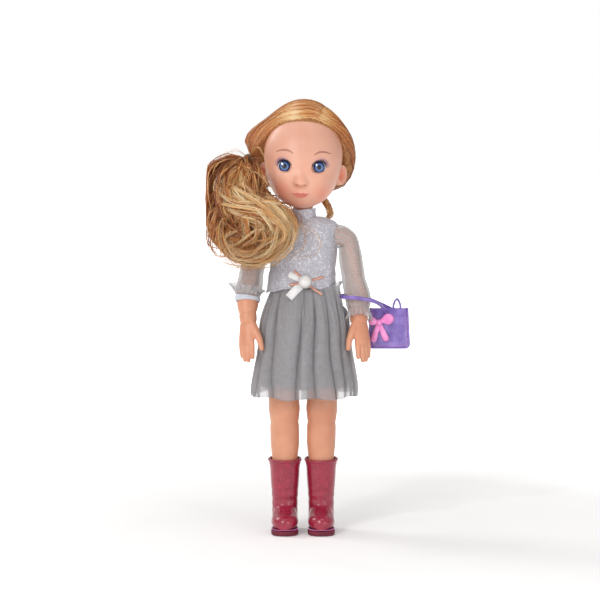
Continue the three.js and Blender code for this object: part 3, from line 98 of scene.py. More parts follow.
def hump(x, at, width):
    """A bell that is 1 at a place and falls off over a width."""
    return np.exp(-(((x - at) / width) ** 2))


def sided(side, name):
    return ("left_" if side > 0 else "right_") + name


def rgb(code):
    """A written colour as linear light."""
    channels = [int(code[i:i + 2], 16) / 255 for i in (1, 3, 5)]
    return tuple(c / 12.92 if c <= 0.04045 else ((c + 0.055) / 1.055) ** 2.4 for c in channels) + (1.0,)


# How a piece joins the doll

def wear(obj, body, slot, *replaced):
    """A piece that moves with one body, and the nodes that it stands for, which it hides; the slot is not
    used.
    """
    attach(obj, body)
    if replaced:
        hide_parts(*replaced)
    return obj


def stretch(obj, bodies, start, end, slot, *replaced):
    """A soft piece baked into the doll's frame, with the nodes that it stands for hidden; the bodies, start
    and end are not used.
    """
    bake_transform(obj)
    if replaced:
        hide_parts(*replaced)
    return obj


# Mesh building

def mesh_object(name, points, faces, material=None, smooth=True, attributes=None):
    """A mesh from points in millimetres and faces, all of one length or a list of such arrays."""
    groups = faces if isinstance(faces, list) else [faces]
    groups = [np.asarray(g, np.int32) for g in groups if len(g)]
    points = place(points)
    mesh = bpy.data.meshes.new(name)
    mesh.vertices.add(len(points))
    mesh.vertices.foreach_set("co", points.astype(np.float32).ravel())
    sizes = np.concatenate([np.full(len(g), g.shape[1], np.int32) for g in groups])
    loops = np.concatenate([g.ravel() for g in groups])
    mesh.loops.add(len(loops))
    mesh.loops.foreach_set("vertex_index", loops)
    mesh.polygons.add(len(sizes))
    starts = np.concatenate([[0], np.cumsum(sizes)[:-1]]).astype(np.int32)
    mesh.polygons.foreach_set("loop_start", starts)
    mesh.update(calc_edges=True)
    mesh.validate()
    mesh.polygons.foreach_set("use_smooth", np.full(len(mesh.polygons), smooth))
    for key, values in (attributes or {}).items():
        layer = mesh.attributes.new(key, "FLOAT", "POINT")
        layer.data.foreach_set("value", np.asarray(values, np.float32))
    obj = bpy.data.objects.new(name, mesh)
    bpy.context.scene.collection.objects.link(obj)
    if material:
        mesh.materials.append(material)
    return obj


def grid_faces(rows, columns, wrap_rows=False, wrap_columns=True, start=0):
    i = np.arange(rows if wrap_rows else rows - 1)[:, None]
    j = np.arange(columns if wrap_columns else columns - 1)[None, :]
    i2, j2 = (i + 1) % rows, (j + 1) % columns
    quads = np.stack([i * columns + j, i * columns + j2, i2 * columns + j2, i2 * columns + j], -1)
    return quads.reshape(-1, 4) + start


def loft(name, rings, material=None, ringed=False, attributes=None):
    """Skins an array of rings, rows by columns by 3, to one closed body."""
    rings = np.asarray(rings, float)
    rows, columns = rings.shape[:2]
    points = rings.reshape(-1, 3)
    faces = [grid_faces(rows, columns, wrap_rows=ringed)]
    if not ringed:
        j = np.arange(columns)
        for row, order in ((0, [0, 2, 1]), (rows - 1, [0, 1, 2])):
            middle = np.full(columns, len(points))
            points = np.vstack([points, rings[row].mean(0)])
            fan = np.stack([middle, row * columns + j, row * columns + (j + 1) % columns], 1)
            faces.append(fan[:, order])
    padded = {k: np.append(v, [np.mean(v)] * (len(points) - len(v))) for k, v in (attributes or {}).items()}
    return mesh_object(name, points, outward(points, faces), material, attributes=padded)


def signed_volume(points, faces):
    total = 0.0
    for group in faces:
        a = points[group[:, 0]]
        for k in range(1, group.shape[1] - 1):
            total += np.einsum("ij,ij->i", a, np.cross(points[group[:, k]], points[group[:, k + 1]])).sum()
    return total


def outward(points, faces):
    """Turns all faces over when they look inward."""
    return [f[:, ::-1] for f in faces] if signed_volume(points, faces) < 0 else faces


def join_objects(name, objects):
    """Joins objects to the first one, under a name."""
    bpy.ops.object.select_all(action="DESELECT")
    for obj in objects:
        obj.select_set(True)
    bpy.context.view_layer.objects.active = objects[0]
    bpy.ops.object.join()
    objects[0].name = name
    return objects[0]


def cover(obj, material):
    """Gives a mesh one material only."""
    obj.data.materials.clear()
    obj.data.materials.append(material)


# Voxel size and rounds of smoothing of each fused skin
ARM_SKIN, LEG_SKIN, BOOT_SKIN = (0.55, 3), (0.9, 5), (0.7, 10)
CORE_SKIN, BOW_SKIN = (1.5, 6), (0.45, 2)


def fuse(obj, voxel, smoothing):
    """Turns overlapping bodies into one smooth skin."""
    remesh = obj.modifiers.new("fuse", "REMESH")
    remesh.mode = "VOXEL"
    remesh.voxel_size = voxel * MM
    remesh.use_smooth_shade = True
    relax = obj.modifiers.new("relax", "SMOOTH")
    relax.iterations = smoothing
    relax.factor = 0.5
    bpy.context.view_layer.objects.active = obj
    for modifier in list(obj.modifiers):
        bpy.ops.object.modifier_apply(modifier=modifier.name)
    return obj


def frames_along(path, up=(0, 0, 1)):
    """Directions across a path: its tangent and two sides that turn as little as can be."""
    path = np.asarray(path, float)
    tangent = unit(np.gradient(path, axis=0))
    side = np.zeros_like(path)
    first = np.cross(tangent[0], up)
    if np.linalg.norm(first) < 1e-3:
        first = np.cross(tangent[0], (1, 0, 0))
    side[0] = unit(first)
    for i in range(1, len(path)):
        s = side[i - 1] - tangent[i] * np.dot(side[i - 1], tangent[i])
        side[i] = unit(s)
    return tangent, side, np.cross(tangent, side)


def spokes(path, count, up=(0, 0, 1), flat=(1.0, 1.0)):
    """Directions round a path at each of its points, flattened by two shares."""
    _, side, deep = frames_along(path, up)
    turn = circle(count)
    return side[:, None] * np.cos(turn)[:, None] * flat[0] + deep[:, None] * np.sin(turn)[:, None] * flat[1]


def neighbours(values):
    """The sum of each value and the two beside it."""
    return values + np.vstack([values[:1], values[:-1]]) + np.vstack([values[1:], values[-1:]])


def tubes(name, paths, radii, sides, material, shades=None):
    """Many thin closed tubes in one mesh. paths is (count, steps, 3), radii (count, steps)."""
    paths = np.asarray(paths, float)
    count, steps = paths.shape[:2]
    tangent = unit(np.gradient(paths, axis=1))
    reference = np.tile(np.array([0.31, 0.83, 0.46]), (count, steps, 1))
    side = unit(np.cross(tangent, reference))
    deep = np.cross(tangent, side)
    turn = circle(sides)
    offset = side[:, :, None] * np.cos(turn)[:, None] + deep[:, :, None] * np.sin(turn)[:, None]
    points = paths[:, :, None] + offset * np.asarray(radii)[:, :, None, None]
    starts = (np.arange(count) * steps * sides)[:, None, None]
    quads = (grid_faces(steps, sides)[None, :, ::-1] + starts).reshape(-1, 4)
    ring = np.arange(sides)
    ends = np.stack([ring, ring[::-1] + (steps - 1) * sides])
    caps = (ends[None] + starts).reshape(-1, sides)
    attributes = None
    if shades is not None:
        shade = np.broadcast_to(np.reshape(shades, (count, -1)), (count, steps))
        attributes = {"shade": np.repeat(shade.ravel(), sides)}
    return mesh_object(name, points.reshape(-1, 3), [quads, caps], material, attributes=attributes)


def catmull(points, count):
    """A smooth curve through a list of points, evenly counted."""
    p = np.asarray(points, float)
    p = np.vstack([2 * p[0] - p[1], p, 2 * p[-1] - p[-2]])
    spans = len(p) - 3
    u = np.linspace(0, spans - 1e-9, count)
    i = u.astype(int)
    t = (u - i)[:, None]
    a, b, c, d = p[i], p[i + 1], p[i + 2], p[i + 3]
    bend, twist = 2 * a - 5 * b + 4 * c - d, 3 * b - 3 * c + d - a
    return 0.5 * (2 * b + (c - a) * t + bend * t ** 2 + twist * t ** 3)


def table(stations, z):
    """Values between stations of a height each, eased as in the part."""
    stations = np.asarray(stations, float)
    z = np.asarray(z, float)
    i = np.clip(np.searchsorted(stations[:, 0], z, side="left") - 1, 0, len(stations) - 2)
    a, b = stations[i], stations[i + 1]
    t = np.clip((z - a[..., 0]) / (b[..., 0] - a[..., 0]), 0, 1)
    t = (smoothstep(t, 0, 1) + t) / 2
    return a[..., 1:] + (b[..., 1:] - a[..., 1:]) * t[..., None]


# Materials

class Material:
    """A principled material and short ways to wire its nodes."""

    def __init__(self, name, colour, roughness=0.5, **sockets):
        self.mat = bpy.data.materials.new(name)
        self.mat.use_nodes = True
        self.tree = self.mat.node_tree
        self.shader = self.tree.nodes["Principled BSDF"]
        self.set("Base Color", rgb(colour) if isinstance(colour, str) else colour)
        self.set("Roughness", roughness)
        for key, value in sockets.items():
            self.set(key.replace("_", " "), value)

    def set(self, socket, value):
        self.shader.inputs[socket].default_value = value

    def node(self, kind, **settings):
        made = self.tree.nodes.new(kind)
        for key, value in settings.items():
            if hasattr(made, key):
                setattr(made, key, value)
            else:
                made.inputs[key.replace("_", " ")].default_value = value
        return made

    def link(self, output, target):
        if isinstance(target, str):
            target = self.shader.inputs[target]
        self.tree.links.new(output, target)
        return self

    def place(self, scale):
        """Object coordinates in millimetres, times a scale for each axis."""
        where = self.node("ShaderNodeTexCoord")
        size = self.node("ShaderNodeMapping")
        size.inputs["Scale"].default_value = [f / MM for f in scale]
        self.link(where.outputs["Object"], size.inputs["Vector"])
        return size.outputs["Vector"]

    def noise(self, scale, detail=3.0, roughness=0.55, stretch=(1, 1, 1)):
        made = self.node("ShaderNodeTexNoise")
        made.inputs["Scale"].default_value = scale
        made.inputs["Detail"].default_value = detail
        made.inputs["Roughness"].default_value = roughness
        self.link(self.place(stretch), made.inputs["Vector"])
        return made.outputs["Fac"]

    def flakes(self, scale, above):
        """Scattered cells that shine, where their random value passes a level."""
        cells = self.node("ShaderNodeTexVoronoi", feature="F1")
        cells.inputs["Scale"].default_value = scale
        self.link(self.place((1, 1, 1)), cells.inputs["Vector"])
        split = self.node("ShaderNodeSeparateColor")
        self.link(cells.outputs["Color"], split.inputs["Color"])
        return self.math("GREATER_THAN", split.outputs[0], above)

    def wave(self, scale, direction="X", distortion=0.0):
        made = self.node("ShaderNodeTexWave", bands_direction=direction)
        made.inputs["Scale"].default_value = scale
        made.inputs["Distortion"].default_value = distortion
        self.link(self.place((1, 1, 1)), made.inputs["Vector"])
        return made.outputs["Fac"]

    def plus(self, a, b, clamp=False):
        return self.math("ADD", a, b, clamp)

    def times(self, a, b):
        return self.math("MULTIPLY", a, b)

    def math(self, operation, a, b=0.0, clamp=False):
        made = self.node("ShaderNodeMath", operation=operation, use_clamp=clamp)
        for socket, value in zip(made.inputs, (a, b)):
            if isinstance(value, (int, float)):
                socket.default_value = value
            else:
                self.link(value, socket)
        return made.outputs[0]

    def ramp(self, value, stops):
        made = self.node("ShaderNodeValToRGB")
        ramp = made.color_ramp
        while len(ramp.elements) < len(stops):
            ramp.elements.new(0.5)
        for element, (position, colour) in zip(ramp.elements, stops):
            element.position = position
            element.color = rgb(colour) if isinstance(colour, str) else colour
        self.link(value, made.inputs["Fac"])
        return made.outputs["Color"]

    def tint(self, value, stops):
        """Colours the surface by a value and a list of places and colours."""
        return self.link(self.ramp(value, stops), "Base Color")

    def blend(self, factor, a, b):
        made = self.node("ShaderNodeMix", data_type="RGBA", blend_type="MIX")
        for key, value in (("Factor", factor), ("A", a), ("B", b)):
            kind = "VALUE" if key == "Factor" else "RGBA"
            socket = next(s for s in made.inputs if s.name == key and s.type == kind)
            if isinstance(value, (int, float)):
                socket.default_value = value
            elif isinstance(value, (tuple, str)):
                socket.default_value = rgb(value) if isinstance(value, str) else value
            else:
                self.link(value, socket)
        return next(s for s in made.outputs if s.type == "RGBA")

    def attribute(self, name):
        return self.node("ShaderNodeAttribute", attribute_name=name).outputs["Fac"]

    def bump(self, height, distance=0.1, strength=1.0):
        made = self.node("ShaderNodeBump")
        made.inputs["Strength"].default_value = strength
        made.inputs["Distance"].default_value = distance * MM
        self.link(height, made.inputs["Height"])
        self.link(made.outputs["Normal"], "Normal")
        return self


def skin_material(name, dark, light, painted=False):
    m = Material(name, light, 0.42, Subsurface_Weight=0.12, Subsurface_Scale=0.004,
                 Coat_Weight=0.08, Coat_Roughness=0.35)
    m.set("Subsurface Radius", (1.0, 0.35, 0.2))
    tone = m.ramp(m.noise(0.045, 2.0), [(0.3, dark), (0.7, light)])
    if painted:
        for paint, colour in FACE_PAINTS.items():
            tone = m.blend(m.attribute(paint), tone, colour)
    m.link(tone, "Base Color")
    m.bump(m.noise(2.2, 2.0), 0.03, 0.5)
    return m.mat


def hair_material():
    """Golden strands, each as dark or light as its own shade says, which holds the hair's own tones and in
    places painted highlight and painted shade.
    """
    m = Material("golden_hair", "#cd9055", 0.27, Specular_IOR_Level=0.6)
    streak = m.plus(m.times(m.noise(0.7, 2.0), 0.1), m.times(m.attribute("shade"), 0.95))
    m.tint(streak, [(0.1, "#5a2913"), (0.32, "#97502a"), (0.5, "#c3753e"), (0.66, "#db9855"),
                    (0.82, "#ecbf80"), (0.98, "#f8e0b4")])
    return m.mat


# Hair darker than the strands, with streaks of its own: painted shade under the combed strands and inside the
# tail.
def painted_shade_hair_material():
    m = Material("hair_in_painted_shade", "#a8743c", 0.45, Sheen_Weight=0.1)
    m.tint(m.noise(0.9, 4.0, stretch=(1, 1, 0.25)), [(0.3, "#74421f"), (0.55, "#a9703a"), (0.8, "#c8904e")])
    m.bump(m.noise(2.5, 3.0, stretch=(1, 1, 0.2)), 0.25)
    return m.mat


def knit_material():
    """Silver knit: rows, a grain, and flakes of glitter."""
    m = Material("silver_knit", "#b6b5c4", 0.5, Sheen_Weight=0.3, Metallic=0.15)
    rows, grain, spark = m.wave(0.42, "Z", 1.2), m.noise(1.6, 4.0), m.flakes(1.1, 0.8)
    base = m.ramp(m.plus(m.times(rows, 0.25), m.times(grain, 0.75)),
                  [(0.3, "#92909c"), (0.5, "#b6b3bd"), (0.72, "#dcdbe2")])
    m.link(m.blend(m.times(spark, 0.55), base, "#ffffff"), "Base Color")
    m.link(m.math("SUBTRACT", 0.55, m.times(spark, 0.3)), "Roughness")
    m.bump(m.plus(m.times(rows, 0.4), grain), 0.22)
    return m.mat


def weave(m, pitch):
    """Threads over and under, as a height."""
    return m.times(m.wave(pitch, "X"), m.wave(pitch, "Z"))


def sheer_material(name, colour, opacity, folds):
    """See-through cloth, thicker where its folds lie deep, and darker there: partly the cloth that lies over
    itself, partly painted shade.
    """
    m = Material(name, colour, 0.6, Sheen_Weight=0.5, Sheen_Roughness=0.35)
    threads = weave(m, 1.1)
    deep = m.attribute("deep")
    mottle_and_fold_shade = m.plus(m.times(m.noise(0.25, 3.0), 0.5), m.times(deep, 0.6))
    m.link(m.blend(mottle_and_fold_shade, colour, folds), "Base Color")
    cover_share = m.plus(opacity - 0.12, m.times(threads, 0.24), True)
    m.link(m.plus(cover_share, m.times(deep, 0.22), True), "Alpha")
    m.bump(threads, 0.08)
    return m.mat


def woven_material(name, colour, dark, pitch=0.9):
    m = Material(name, colour, 0.75, Sheen_Weight=0.25)
    threads = weave(m, pitch)
    m.tint(m.plus(m.times(threads, 0.4), m.times(m.noise(0.3, 3.0), 0.6)), [(0.25, dark), (0.7, colour)])
    m.bump(threads, 0.1)
    return m.mat


def satin_material(name, colour, dark):
    m = Material(name, colour, 0.28, Sheen_Weight=0.4, Anisotropic=0.5, Coat_Weight=0.15)
    m.tint(m.noise(0.4, 3.0), [(0.3, dark), (0.7, colour)])
    m.bump(m.wave(1.4, "X", 0.4), 0.04)
    return m.mat


def plastic_material(name, colour, dark, roughness=0.45, **sockets):
    m = Material(name, colour, roughness, **sockets)
    m.tint(m.noise(0.12, 3.0), [(0.35, dark), (0.65, colour)])
    m.bump(m.noise(3.0, 2.0), 0.02, 0.6)
    return m.mat


def metal_material(name, colour, dark, roughness=0.3):
    m = Material(name, colour, roughness, Metallic=1.0)
    m.tint(m.noise(0.8, 4.0, stretch=(1, 6, 1)), [(0.3, dark), (0.7, colour)])
    m.bump(m.noise(3.0, 3.0, stretch=(1, 8, 1)), 0.02)
    return m.mat


def boot_material():
    """Shiny vinyl with glitter under its coat."""
    m = Material("crimson_vinyl", "#a31a38", 0.3, Coat_Weight=0.5, Coat_Roughness=0.15)
    base = m.ramp(m.noise(0.2, 3.0), [(0.3, "#8c1230"), (0.7, "#a81d3d")])
    m.link(m.blend(m.times(m.flakes(2.2, 0.9), 0.22), base, "#e8738f"), "Base Color")
    m.bump(m.noise(1.2, 4.0), 0.06)
    return m.mat


def bag_material():
    m = Material("purple_vinyl", "#7554a6", 0.16, Coat_Weight=0.6, Coat_Roughness=0.08, Alpha=0.86)
    m.tint(m.noise(0.12, 4.0), [(0.3, "#6f50ac"), (0.7, "#a489dc")])
    m.bump(m.noise(0.5, 3.0), 0.25)
    return m.mat


def pearl_material():
    m = Material("pearl", "#dcd8d5", 0.12, Coat_Weight=1.0, Coat_Roughness=0.03, Specular_IOR_Level=0.8)
    facing = m.node("ShaderNodeLayerWeight")
    facing.inputs["Blend"].default_value = 0.4
    # Lighter facing the viewer, darker toward the rim and light again at the edge: painted highlight, painted
    # shade and painted sheen over the pearl's colour.
    m.tint(facing.outputs["Facing"],
           [(0.1, "#e2dedc"), (0.45, "#cdc8c6"), (0.8, "#a9a4a6"), (0.97, "#d5d2d6")])
    m.bump(m.noise(0.8, 2.0), 0.03)
    return m.mat


def copper_material():
    """A striped ribbon, by the place across it."""
    m = Material("copper_ribbon", "#c98c74", 0.32, Sheen_Weight=0.3, Metallic=0.35)
    m.tint(m.math("ABSOLUTE", m.attribute("across")),
           [(0.0, "#f4dccd"), (0.28, "#cf8a70"), (0.7, "#b3694f"), (0.95, "#e6b59e")])
    m.bump(m.wave(1.6, "X"), 0.05)
    return m.mat


def eye_material():
    """Iris rings by the distance from the pupil's middle, under a clear coat, and a white painted highlight
    that also glows.
    """
    m = Material("glass_eye", "#f2eeec", 0.3, Specular_IOR_Level=0.2, Coat_Weight=0.7, Coat_Roughness=0.02)
    fibre = m.plus(m.attribute("reach"), m.times(m.math("SUBTRACT", m.noise(0.9, 4.0), 0.5), 0.10))
    iris = m.ramp(fibre, [
        (0.0, "#0b0a12"), (0.17, "#0e0d18"), (0.205, "#2c3c60"), (0.27, "#6081b4"), (0.36, "#4868a3"),
        # The white is painted greyish mauve, darkest next to the iris: painted shade of the lids.
        (0.44, "#2c4376"), (0.49, "#141c40"), (0.55, "#161b36"), (0.575, "#c9bfc6"), (0.8, "#ddd3d6"),
    ])
    # The painted highlight: white paint that also glows, where a reflection of the light would lie.
    m.link(m.blend(m.attribute("painted_highlight"), iris, "#ffffff"), "Base Color")
    m.link(m.times(m.attribute("painted_highlight"), 0.6), "Emission Strength")
    return m.mat


# The face's paints in the order that they lie over each other. The pale paint is painted shade over the
# forehead.
FACE_PAINTS = {
    # The blush colour is the cheeks' own blush, and in the ears' hollows painted shade.
    "pale": "#cf9883", "blush_and_ear_shade": "#ef8b70", "shadow": "#b98aa6", "brow": "#8d4f3c",
    # The nostrils' colour is painted shade in their dents.
    "lips": "#d4685c", "lip_line": "#a8453c", "nostril_shade": "#c0694c", "liner": "#3d3043",
}
SKIN_MAT = skin_material("vinyl_skin", "#d48f6f", "#df9f7e")
FACE_MAT = skin_material("painted_face", "#e2a48a", "#ebb39b", painted=True)
HAIR_MAT = hair_material()
PAINTED_SHADE_HAIR_MAT = painted_shade_hair_material()
KNIT_MAT = knit_material()
# The second colour of each sheer cloth is that of its fold valleys: partly layered cloth, partly painted
# shade.
ORGANZA_MAT = sheer_material("grey_organza", "#e6e4e3", 0.33, "#c2bebd")
FRILL_MAT = sheer_material("frill_organza", "#e2dfe0", 0.34, "#bfbbbc")
TULLE_MAT = sheer_material("grey_tulle", "#c6c3c6", 0.5, "#858285")
LINING_MAT = woven_material("grey_lining", "#adabad", "#949294")
SATIN_MAT = satin_material("white_satin", "#fbfaf9", "#ebe9ea")
ELASTIC_MAT = woven_material("white_elastic", "#e6e8f0", "#c6c9d6", 0.6)
COPPER_MAT = copper_material()
PEARL_MAT = pearl_material()
BOOT_MAT = boot_material()
SOLE_MAT = plastic_material("sole_rubber", "#7a1a33", "#64142a", 0.6)
BAG_MAT = bag_material()
BAG_TRIM_MAT = plastic_material("bag_piping", "#8a6cc0", "#6d4fa6", 0.25, Coat_Weight=0.5)
BOW_MAT = plastic_material("pink_bow", "#fa9cda", "#ee7cc6", 0.25, Coat_Weight=0.5)
EYE_MAT = eye_material()
LASH_MAT = plastic_material("lashes", "#3a2f44", "#2a2133", 0.5)
TIE_MAT = woven_material("hair_elastic", "#7a4f2c", "#55341c", 0.8)
TAPE_MAT = woven_material("closure_tape", "#d2d1d8", "#aeadb6", 0.5)

# The head: the same surface as the part's, with finer features

HEAD_CENTRE = np.array([0.0, 0.0, 303.0])
HEAD_HALF_WIDTH = 30.8
HEAD_FRONT, HEAD_BACK = 28.0, 33.0
HEAD_UPPER, HEAD_LOWER = 46.0, 37.0
HEAD_YAW = math.radians(-2.5)
HEAD_ROLL = math.radians(2)
HAIR_SEAT = 1.7
HAIR_THICKNESS = 5.4
EYE_X, EYE_Y, EYE_Z = 13.7, -16.2, -2.4
EYE_RADIUS = 8.0
# Size of the white painted highlight on each eye, as a distance over the eyeball
PAINTED_HIGHLIGHT_SIZE = 0.095
LASHES, LASH_STEPS, LASH_RADIUS = 30, 7, 0.22
NECK_LOW, NECK_HIGH, NECK_RADIUS = 259.6, 282, 8.2
EAR_HALF_HEIGHT, EAR_HALF_DEPTH, EAR_Y, EAR_Z = 8.7, 5.6, 2.2, -8.3
EYE_HALF_WIDTH, EYE_HALF_HEIGHT = 5.45, 4.7
EYE_SLANT = 0.35
CHIN_OUT, JAW_IN = 4.6, 7.5
NOSE_RISE, NOSE_WIDTH, NOSE_OUT = -27, 6.2, 4.7
NOSE_ABOVE, NOSE_BELOW = 6.5, 4.5
# Turns the spread of a normal curve into the width of a hump
SPREAD = math.sqrt(2)
# Soft forms on the head: angle and rise of the middle, spread each way, in degrees, and height
HEAD_FORMS = [(95, 28, 45, 20, 2.4)]
FACE_FORMS = [
    (34, -27, 15, 13, 1.8),
    (28, -3, 11, 9, -1.4),
    (7, -29, 3.5, 3.5, 1.4),
    (0, -43, 14, 8, 1.3),
    (46, -52, 20, 11, 1.3),
]


def head_turn():
    cy, sy = math.cos(HEAD_YAW), math.sin(HEAD_YAW)
    cr, sr = math.cos(HEAD_ROLL), math.sin(HEAD_ROLL)
    yaw = np.array([[cy, -sy, 0], [sy, cy, 0], [0, 0, 1]])
    roll = np.array([[cr, 0, sr], [0, 1, 0], [-sr, 0, cr]])
    return roll @ yaw


HEAD_TURN = head_turn()


def from_head(points):
    """Points of the head's own frame, in the doll's."""
    return np.asarray(points, float) @ HEAD_TURN.T + HEAD_CENTRE


def toward(angle, rise):
    """A direction by its angle from the front, to the doll's left, and its rise, in degrees."""
    a, r = np.radians(angle), np.radians(rise)
    return np.stack([np.sin(a) * np.cos(r), -np.cos(a) * np.cos(r), np.sin(r) * np.ones_like(a)], -1)


def angle_and_rise(d):
    """The reverse of toward()."""
    angle = np.degrees(np.arctan2(d[..., 0], -d[..., 1]))
    return angle, np.degrees(np.arcsin(np.clip(d[..., 2], -1, 1)))


def mound(a, b, at_a, at_b, wide, tall):
    """A bell over two measures."""
    return hump(a, at_a, wide) * hump(b, at_b, tall)


def head_radius(d, detail=True):
    """How far the head's skin lies from its middle; detail adds the forms of the face."""
    x, y, z = d[..., 0], d[..., 1], d[..., 2]
    depth = np.where(y < 0, HEAD_FRONT, HEAD_BACK)
    height = np.where(z < 0, HEAD_LOWER, HEAD_UPPER)
    radius = 1 / np.sqrt((x / HEAD_HALF_WIDTH) ** 2 + (y / depth) ** 2 + (z / height) ** 2)
    angle, rise = angle_and_rise(d)
    angle = np.abs(angle)
    chin = np.arccos(np.clip(-y * 0.45 - z * 0.893, -1, 1))
    under = np.arccos(np.clip(y * 0.12 - z * 0.993, -1, 1))
    forms = HEAD_FORMS + FACE_FORMS if detail else HEAD_FORMS
    for at_angle, at_rise, wide, tall, out in forms:
        radius = radius + out * mound(angle, rise, at_angle, at_rise, wide * SPREAD, tall * SPREAD)
    if detail:
        tall = np.where(rise > NOSE_RISE, NOSE_ABOVE, NOSE_BELOW)
        radius = radius + NOSE_OUT * mound(angle, rise, 0, NOSE_RISE, NOSE_WIDTH * SPREAD, tall * SPREAD)
    return radius + CHIN_OUT * hump(chin, 0, 0.3 * SPREAD) - JAW_IN * hump(under, 0, 0.27 * SPREAD)


# Each brow's inner and outer or outer and inner end, and the height of its peak
BROWS = [(-21.5, -6.7, 10.9), (9.8, 23.4, 10.3)]
LIP_HALF_WIDTH, LIP_LINE_Z, LOWER_LIP = 7.6, -24.7, 2.05


def between_band(x, low, high, soft):
    return smoothstep(x, low - soft, low + soft) * (1 - smoothstep(x, high - soft, high + soft))


def eye_distance(x, z, side):
    """How far a point of the face lies from an eye's middle, 1 on the rim of its opening."""
    out = side * (x - side * EYE_X) / EYE_HALF_WIDTH
    lift = EYE_SLANT * out
    half = np.where(z - EYE_Z > lift, EYE_HALF_HEIGHT + 0.1, EYE_HALF_HEIGHT - 0.1)
    dz = (z - EYE_Z - lift) / half
    return np.sqrt(np.abs(out) ** 2.15 + np.abs(dz) ** 2.0), out, dz


def eye_paint(x, z):
    """Lid lines, lid shadow and the lift of the rim and socket, for both eyes."""
    lines, shadow, recess, rim = np.zeros((4, len(x)))
    for side in (-1, 1):
        d, out, dz = eye_distance(x, z, side)
        above = smoothstep(dz, -0.15, 0.35)
        reach = mix(0.04, 0.15, smoothstep(out, -0.9, 0.9))
        upper_line = above * (1 - smoothstep(d, 1.0 + reach * 0.7, 1.0 + reach))
        lower_line = (1 - above) * (1 - smoothstep(np.abs(d - 1.05), 0.03, 0.08)) * 0.3
        lines = np.maximum(lines, np.maximum(upper_line, lower_line))
        lid = above * smoothstep(out, -1.2, 1.0) * (1 - smoothstep(d, 1.1, 1.95))
        shadow = np.maximum(shadow, lid * 0.75)
        recess = np.maximum(recess, 1 - smoothstep(d, 0.95, 1.02))
        rim = np.maximum(rim, hump(d, 1.14, 0.09) * mix(0.25, 1.0, above))
    return lines, shadow, rim * 0.45 - recess * 3.2


def brow_paint(x, z):
    """Arched brows, thinner toward the temples."""
    brow = np.zeros(len(x))
    for low, high, peak in BROWS:
        t = (x - (low + high) / 2) / ((high - low) / 2)
        inward = smoothstep(-t * np.sign(low), -1, 1)
        level = peak - mix(1.7, 3.0, inward) * np.clip(np.abs(t), 0, 1) ** 2.2
        half = np.sqrt(np.clip(1 - np.abs(t) ** 2.5, 0, 1)) * mix(0.7, 1.1, inward)
        inside = (np.abs(t) < 1) * (1 - smoothstep(np.abs(z - level), half * 0.55, half * 1.25 + 0.05))
        brow = np.maximum(brow, inside)
    return brow


def mouth_paint(x, z):
    """The two lips, and the line between them."""
    across = np.abs((x + 0.1) / LIP_HALF_WIDTH)
    arch = 0.55 * hump(across, 0.33, 0.2) + 1.15 * (1 - np.clip(across, 0, 1) ** 2)
    line = LIP_LINE_Z + across ** 2
    upper = between_band(z, line, line + arch, 0.12)
    lower_half = LOWER_LIP * np.clip(1 - (np.abs((x + 0.1) / 6.0)) ** 2.3, 0, 1)
    lower = between_band(z, line - 0.35 - lower_half, line - 0.35, 0.14)
    groove = hump(z, line - 0.15, 0.32) * (1 - smoothstep(across, 0.75, 1.02))
    return np.clip(upper + lower, 0, 1) * (across < 1), groove


def on_both_sides(x, z, at_x, at_z, wide, tall):
    return sum(mound(x, z, side * at_x, at_z, wide, tall) for side in (-1, 1))


def face_paint(p):
    """The paints by name and the fine modelling, at points of the head's own frame."""
    x, y, z = p[:, 0], p[:, 1], p[:, 2]
    front = smoothstep(-y, 6, 12)
    lines, shadow, eye_lift = eye_paint(x, z)
    lips, groove = mouth_paint(x, z)
    # Dents of the nostrils, painted darker inside as painted shade.
    nostrils = np.clip(on_both_sides(x, z, 3.3, -17.2, 1.25, 0.75), 0, 1)
    cheeks = on_both_sides(x, z, 17.5, -24, 7.5, 8)
    chin = 0.4 * mound(x, z, 0, -34, 8, 4)
    nose = 0.22 * mound(x, z, 0, -15, 4, 4)
    paint = {
        "liner": lines * front,
        "shadow": shadow * front,
        "brow": brow_paint(x, z) * front * 0.72,
        "lips": lips * front * 0.85,
        "lip_line": groove * front * 0.8,
        "nostril_shade": nostrils * front * 0.75,
        "blush_and_ear_shade": np.clip(cheeks + chin + nose, 0, 1) * smoothstep(-y, 2, 12) * 0.55,
        # The pale paint darkens the upper forehead: painted shade.
        "pale": smoothstep(z, -4, 14) * front * 0.42,
    }
    philtrum = 0.3 * hump(x, 0, 1.0) * between_band(z, -23, -19.5, 0.8)
    lift = eye_lift + 0.55 * lips - 0.45 * groove - 0.55 * nostrils - philtrum
    return paint, lift * front


def spaced(low, dense_low, dense_high, high, dense_step, step):
    """Steps from low to high, dense in the middle."""
    dense = np.arange(dense_low, dense_high, dense_step)
    return np.concatenate([np.arange(low, dense_low, step), dense, np.arange(dense_high, high, step)])


def build_head():
    angles = spaced(-180, -48, 48, 180, 0.5, 4)
    rises = spaced(-88, -64, 26, 90, 0.5, 3.5)
    d = toward(*np.meshgrid(angles, rises))
    p = d * head_radius(d)[..., None]
    paint, lift = face_paint(p.reshape(-1, 3))
    p = p + d * lift.reshape(p.shape[:2])[..., None]
    return loft("head_skin", from_head(p), FACE_MAT, attributes=paint)


def build_neck():
    z = np.linspace(NECK_LOW, NECK_HIGH, 14)
    turn = circle(48)
    radius = NECK_RADIUS + 0.5 * hump(z, 260, 1.6)
    rings = [level_ring(0, 0, r, level, turn) for r, level in zip(radius, z)]
    return loft("neck_skin", rings, SKIN_MAT)


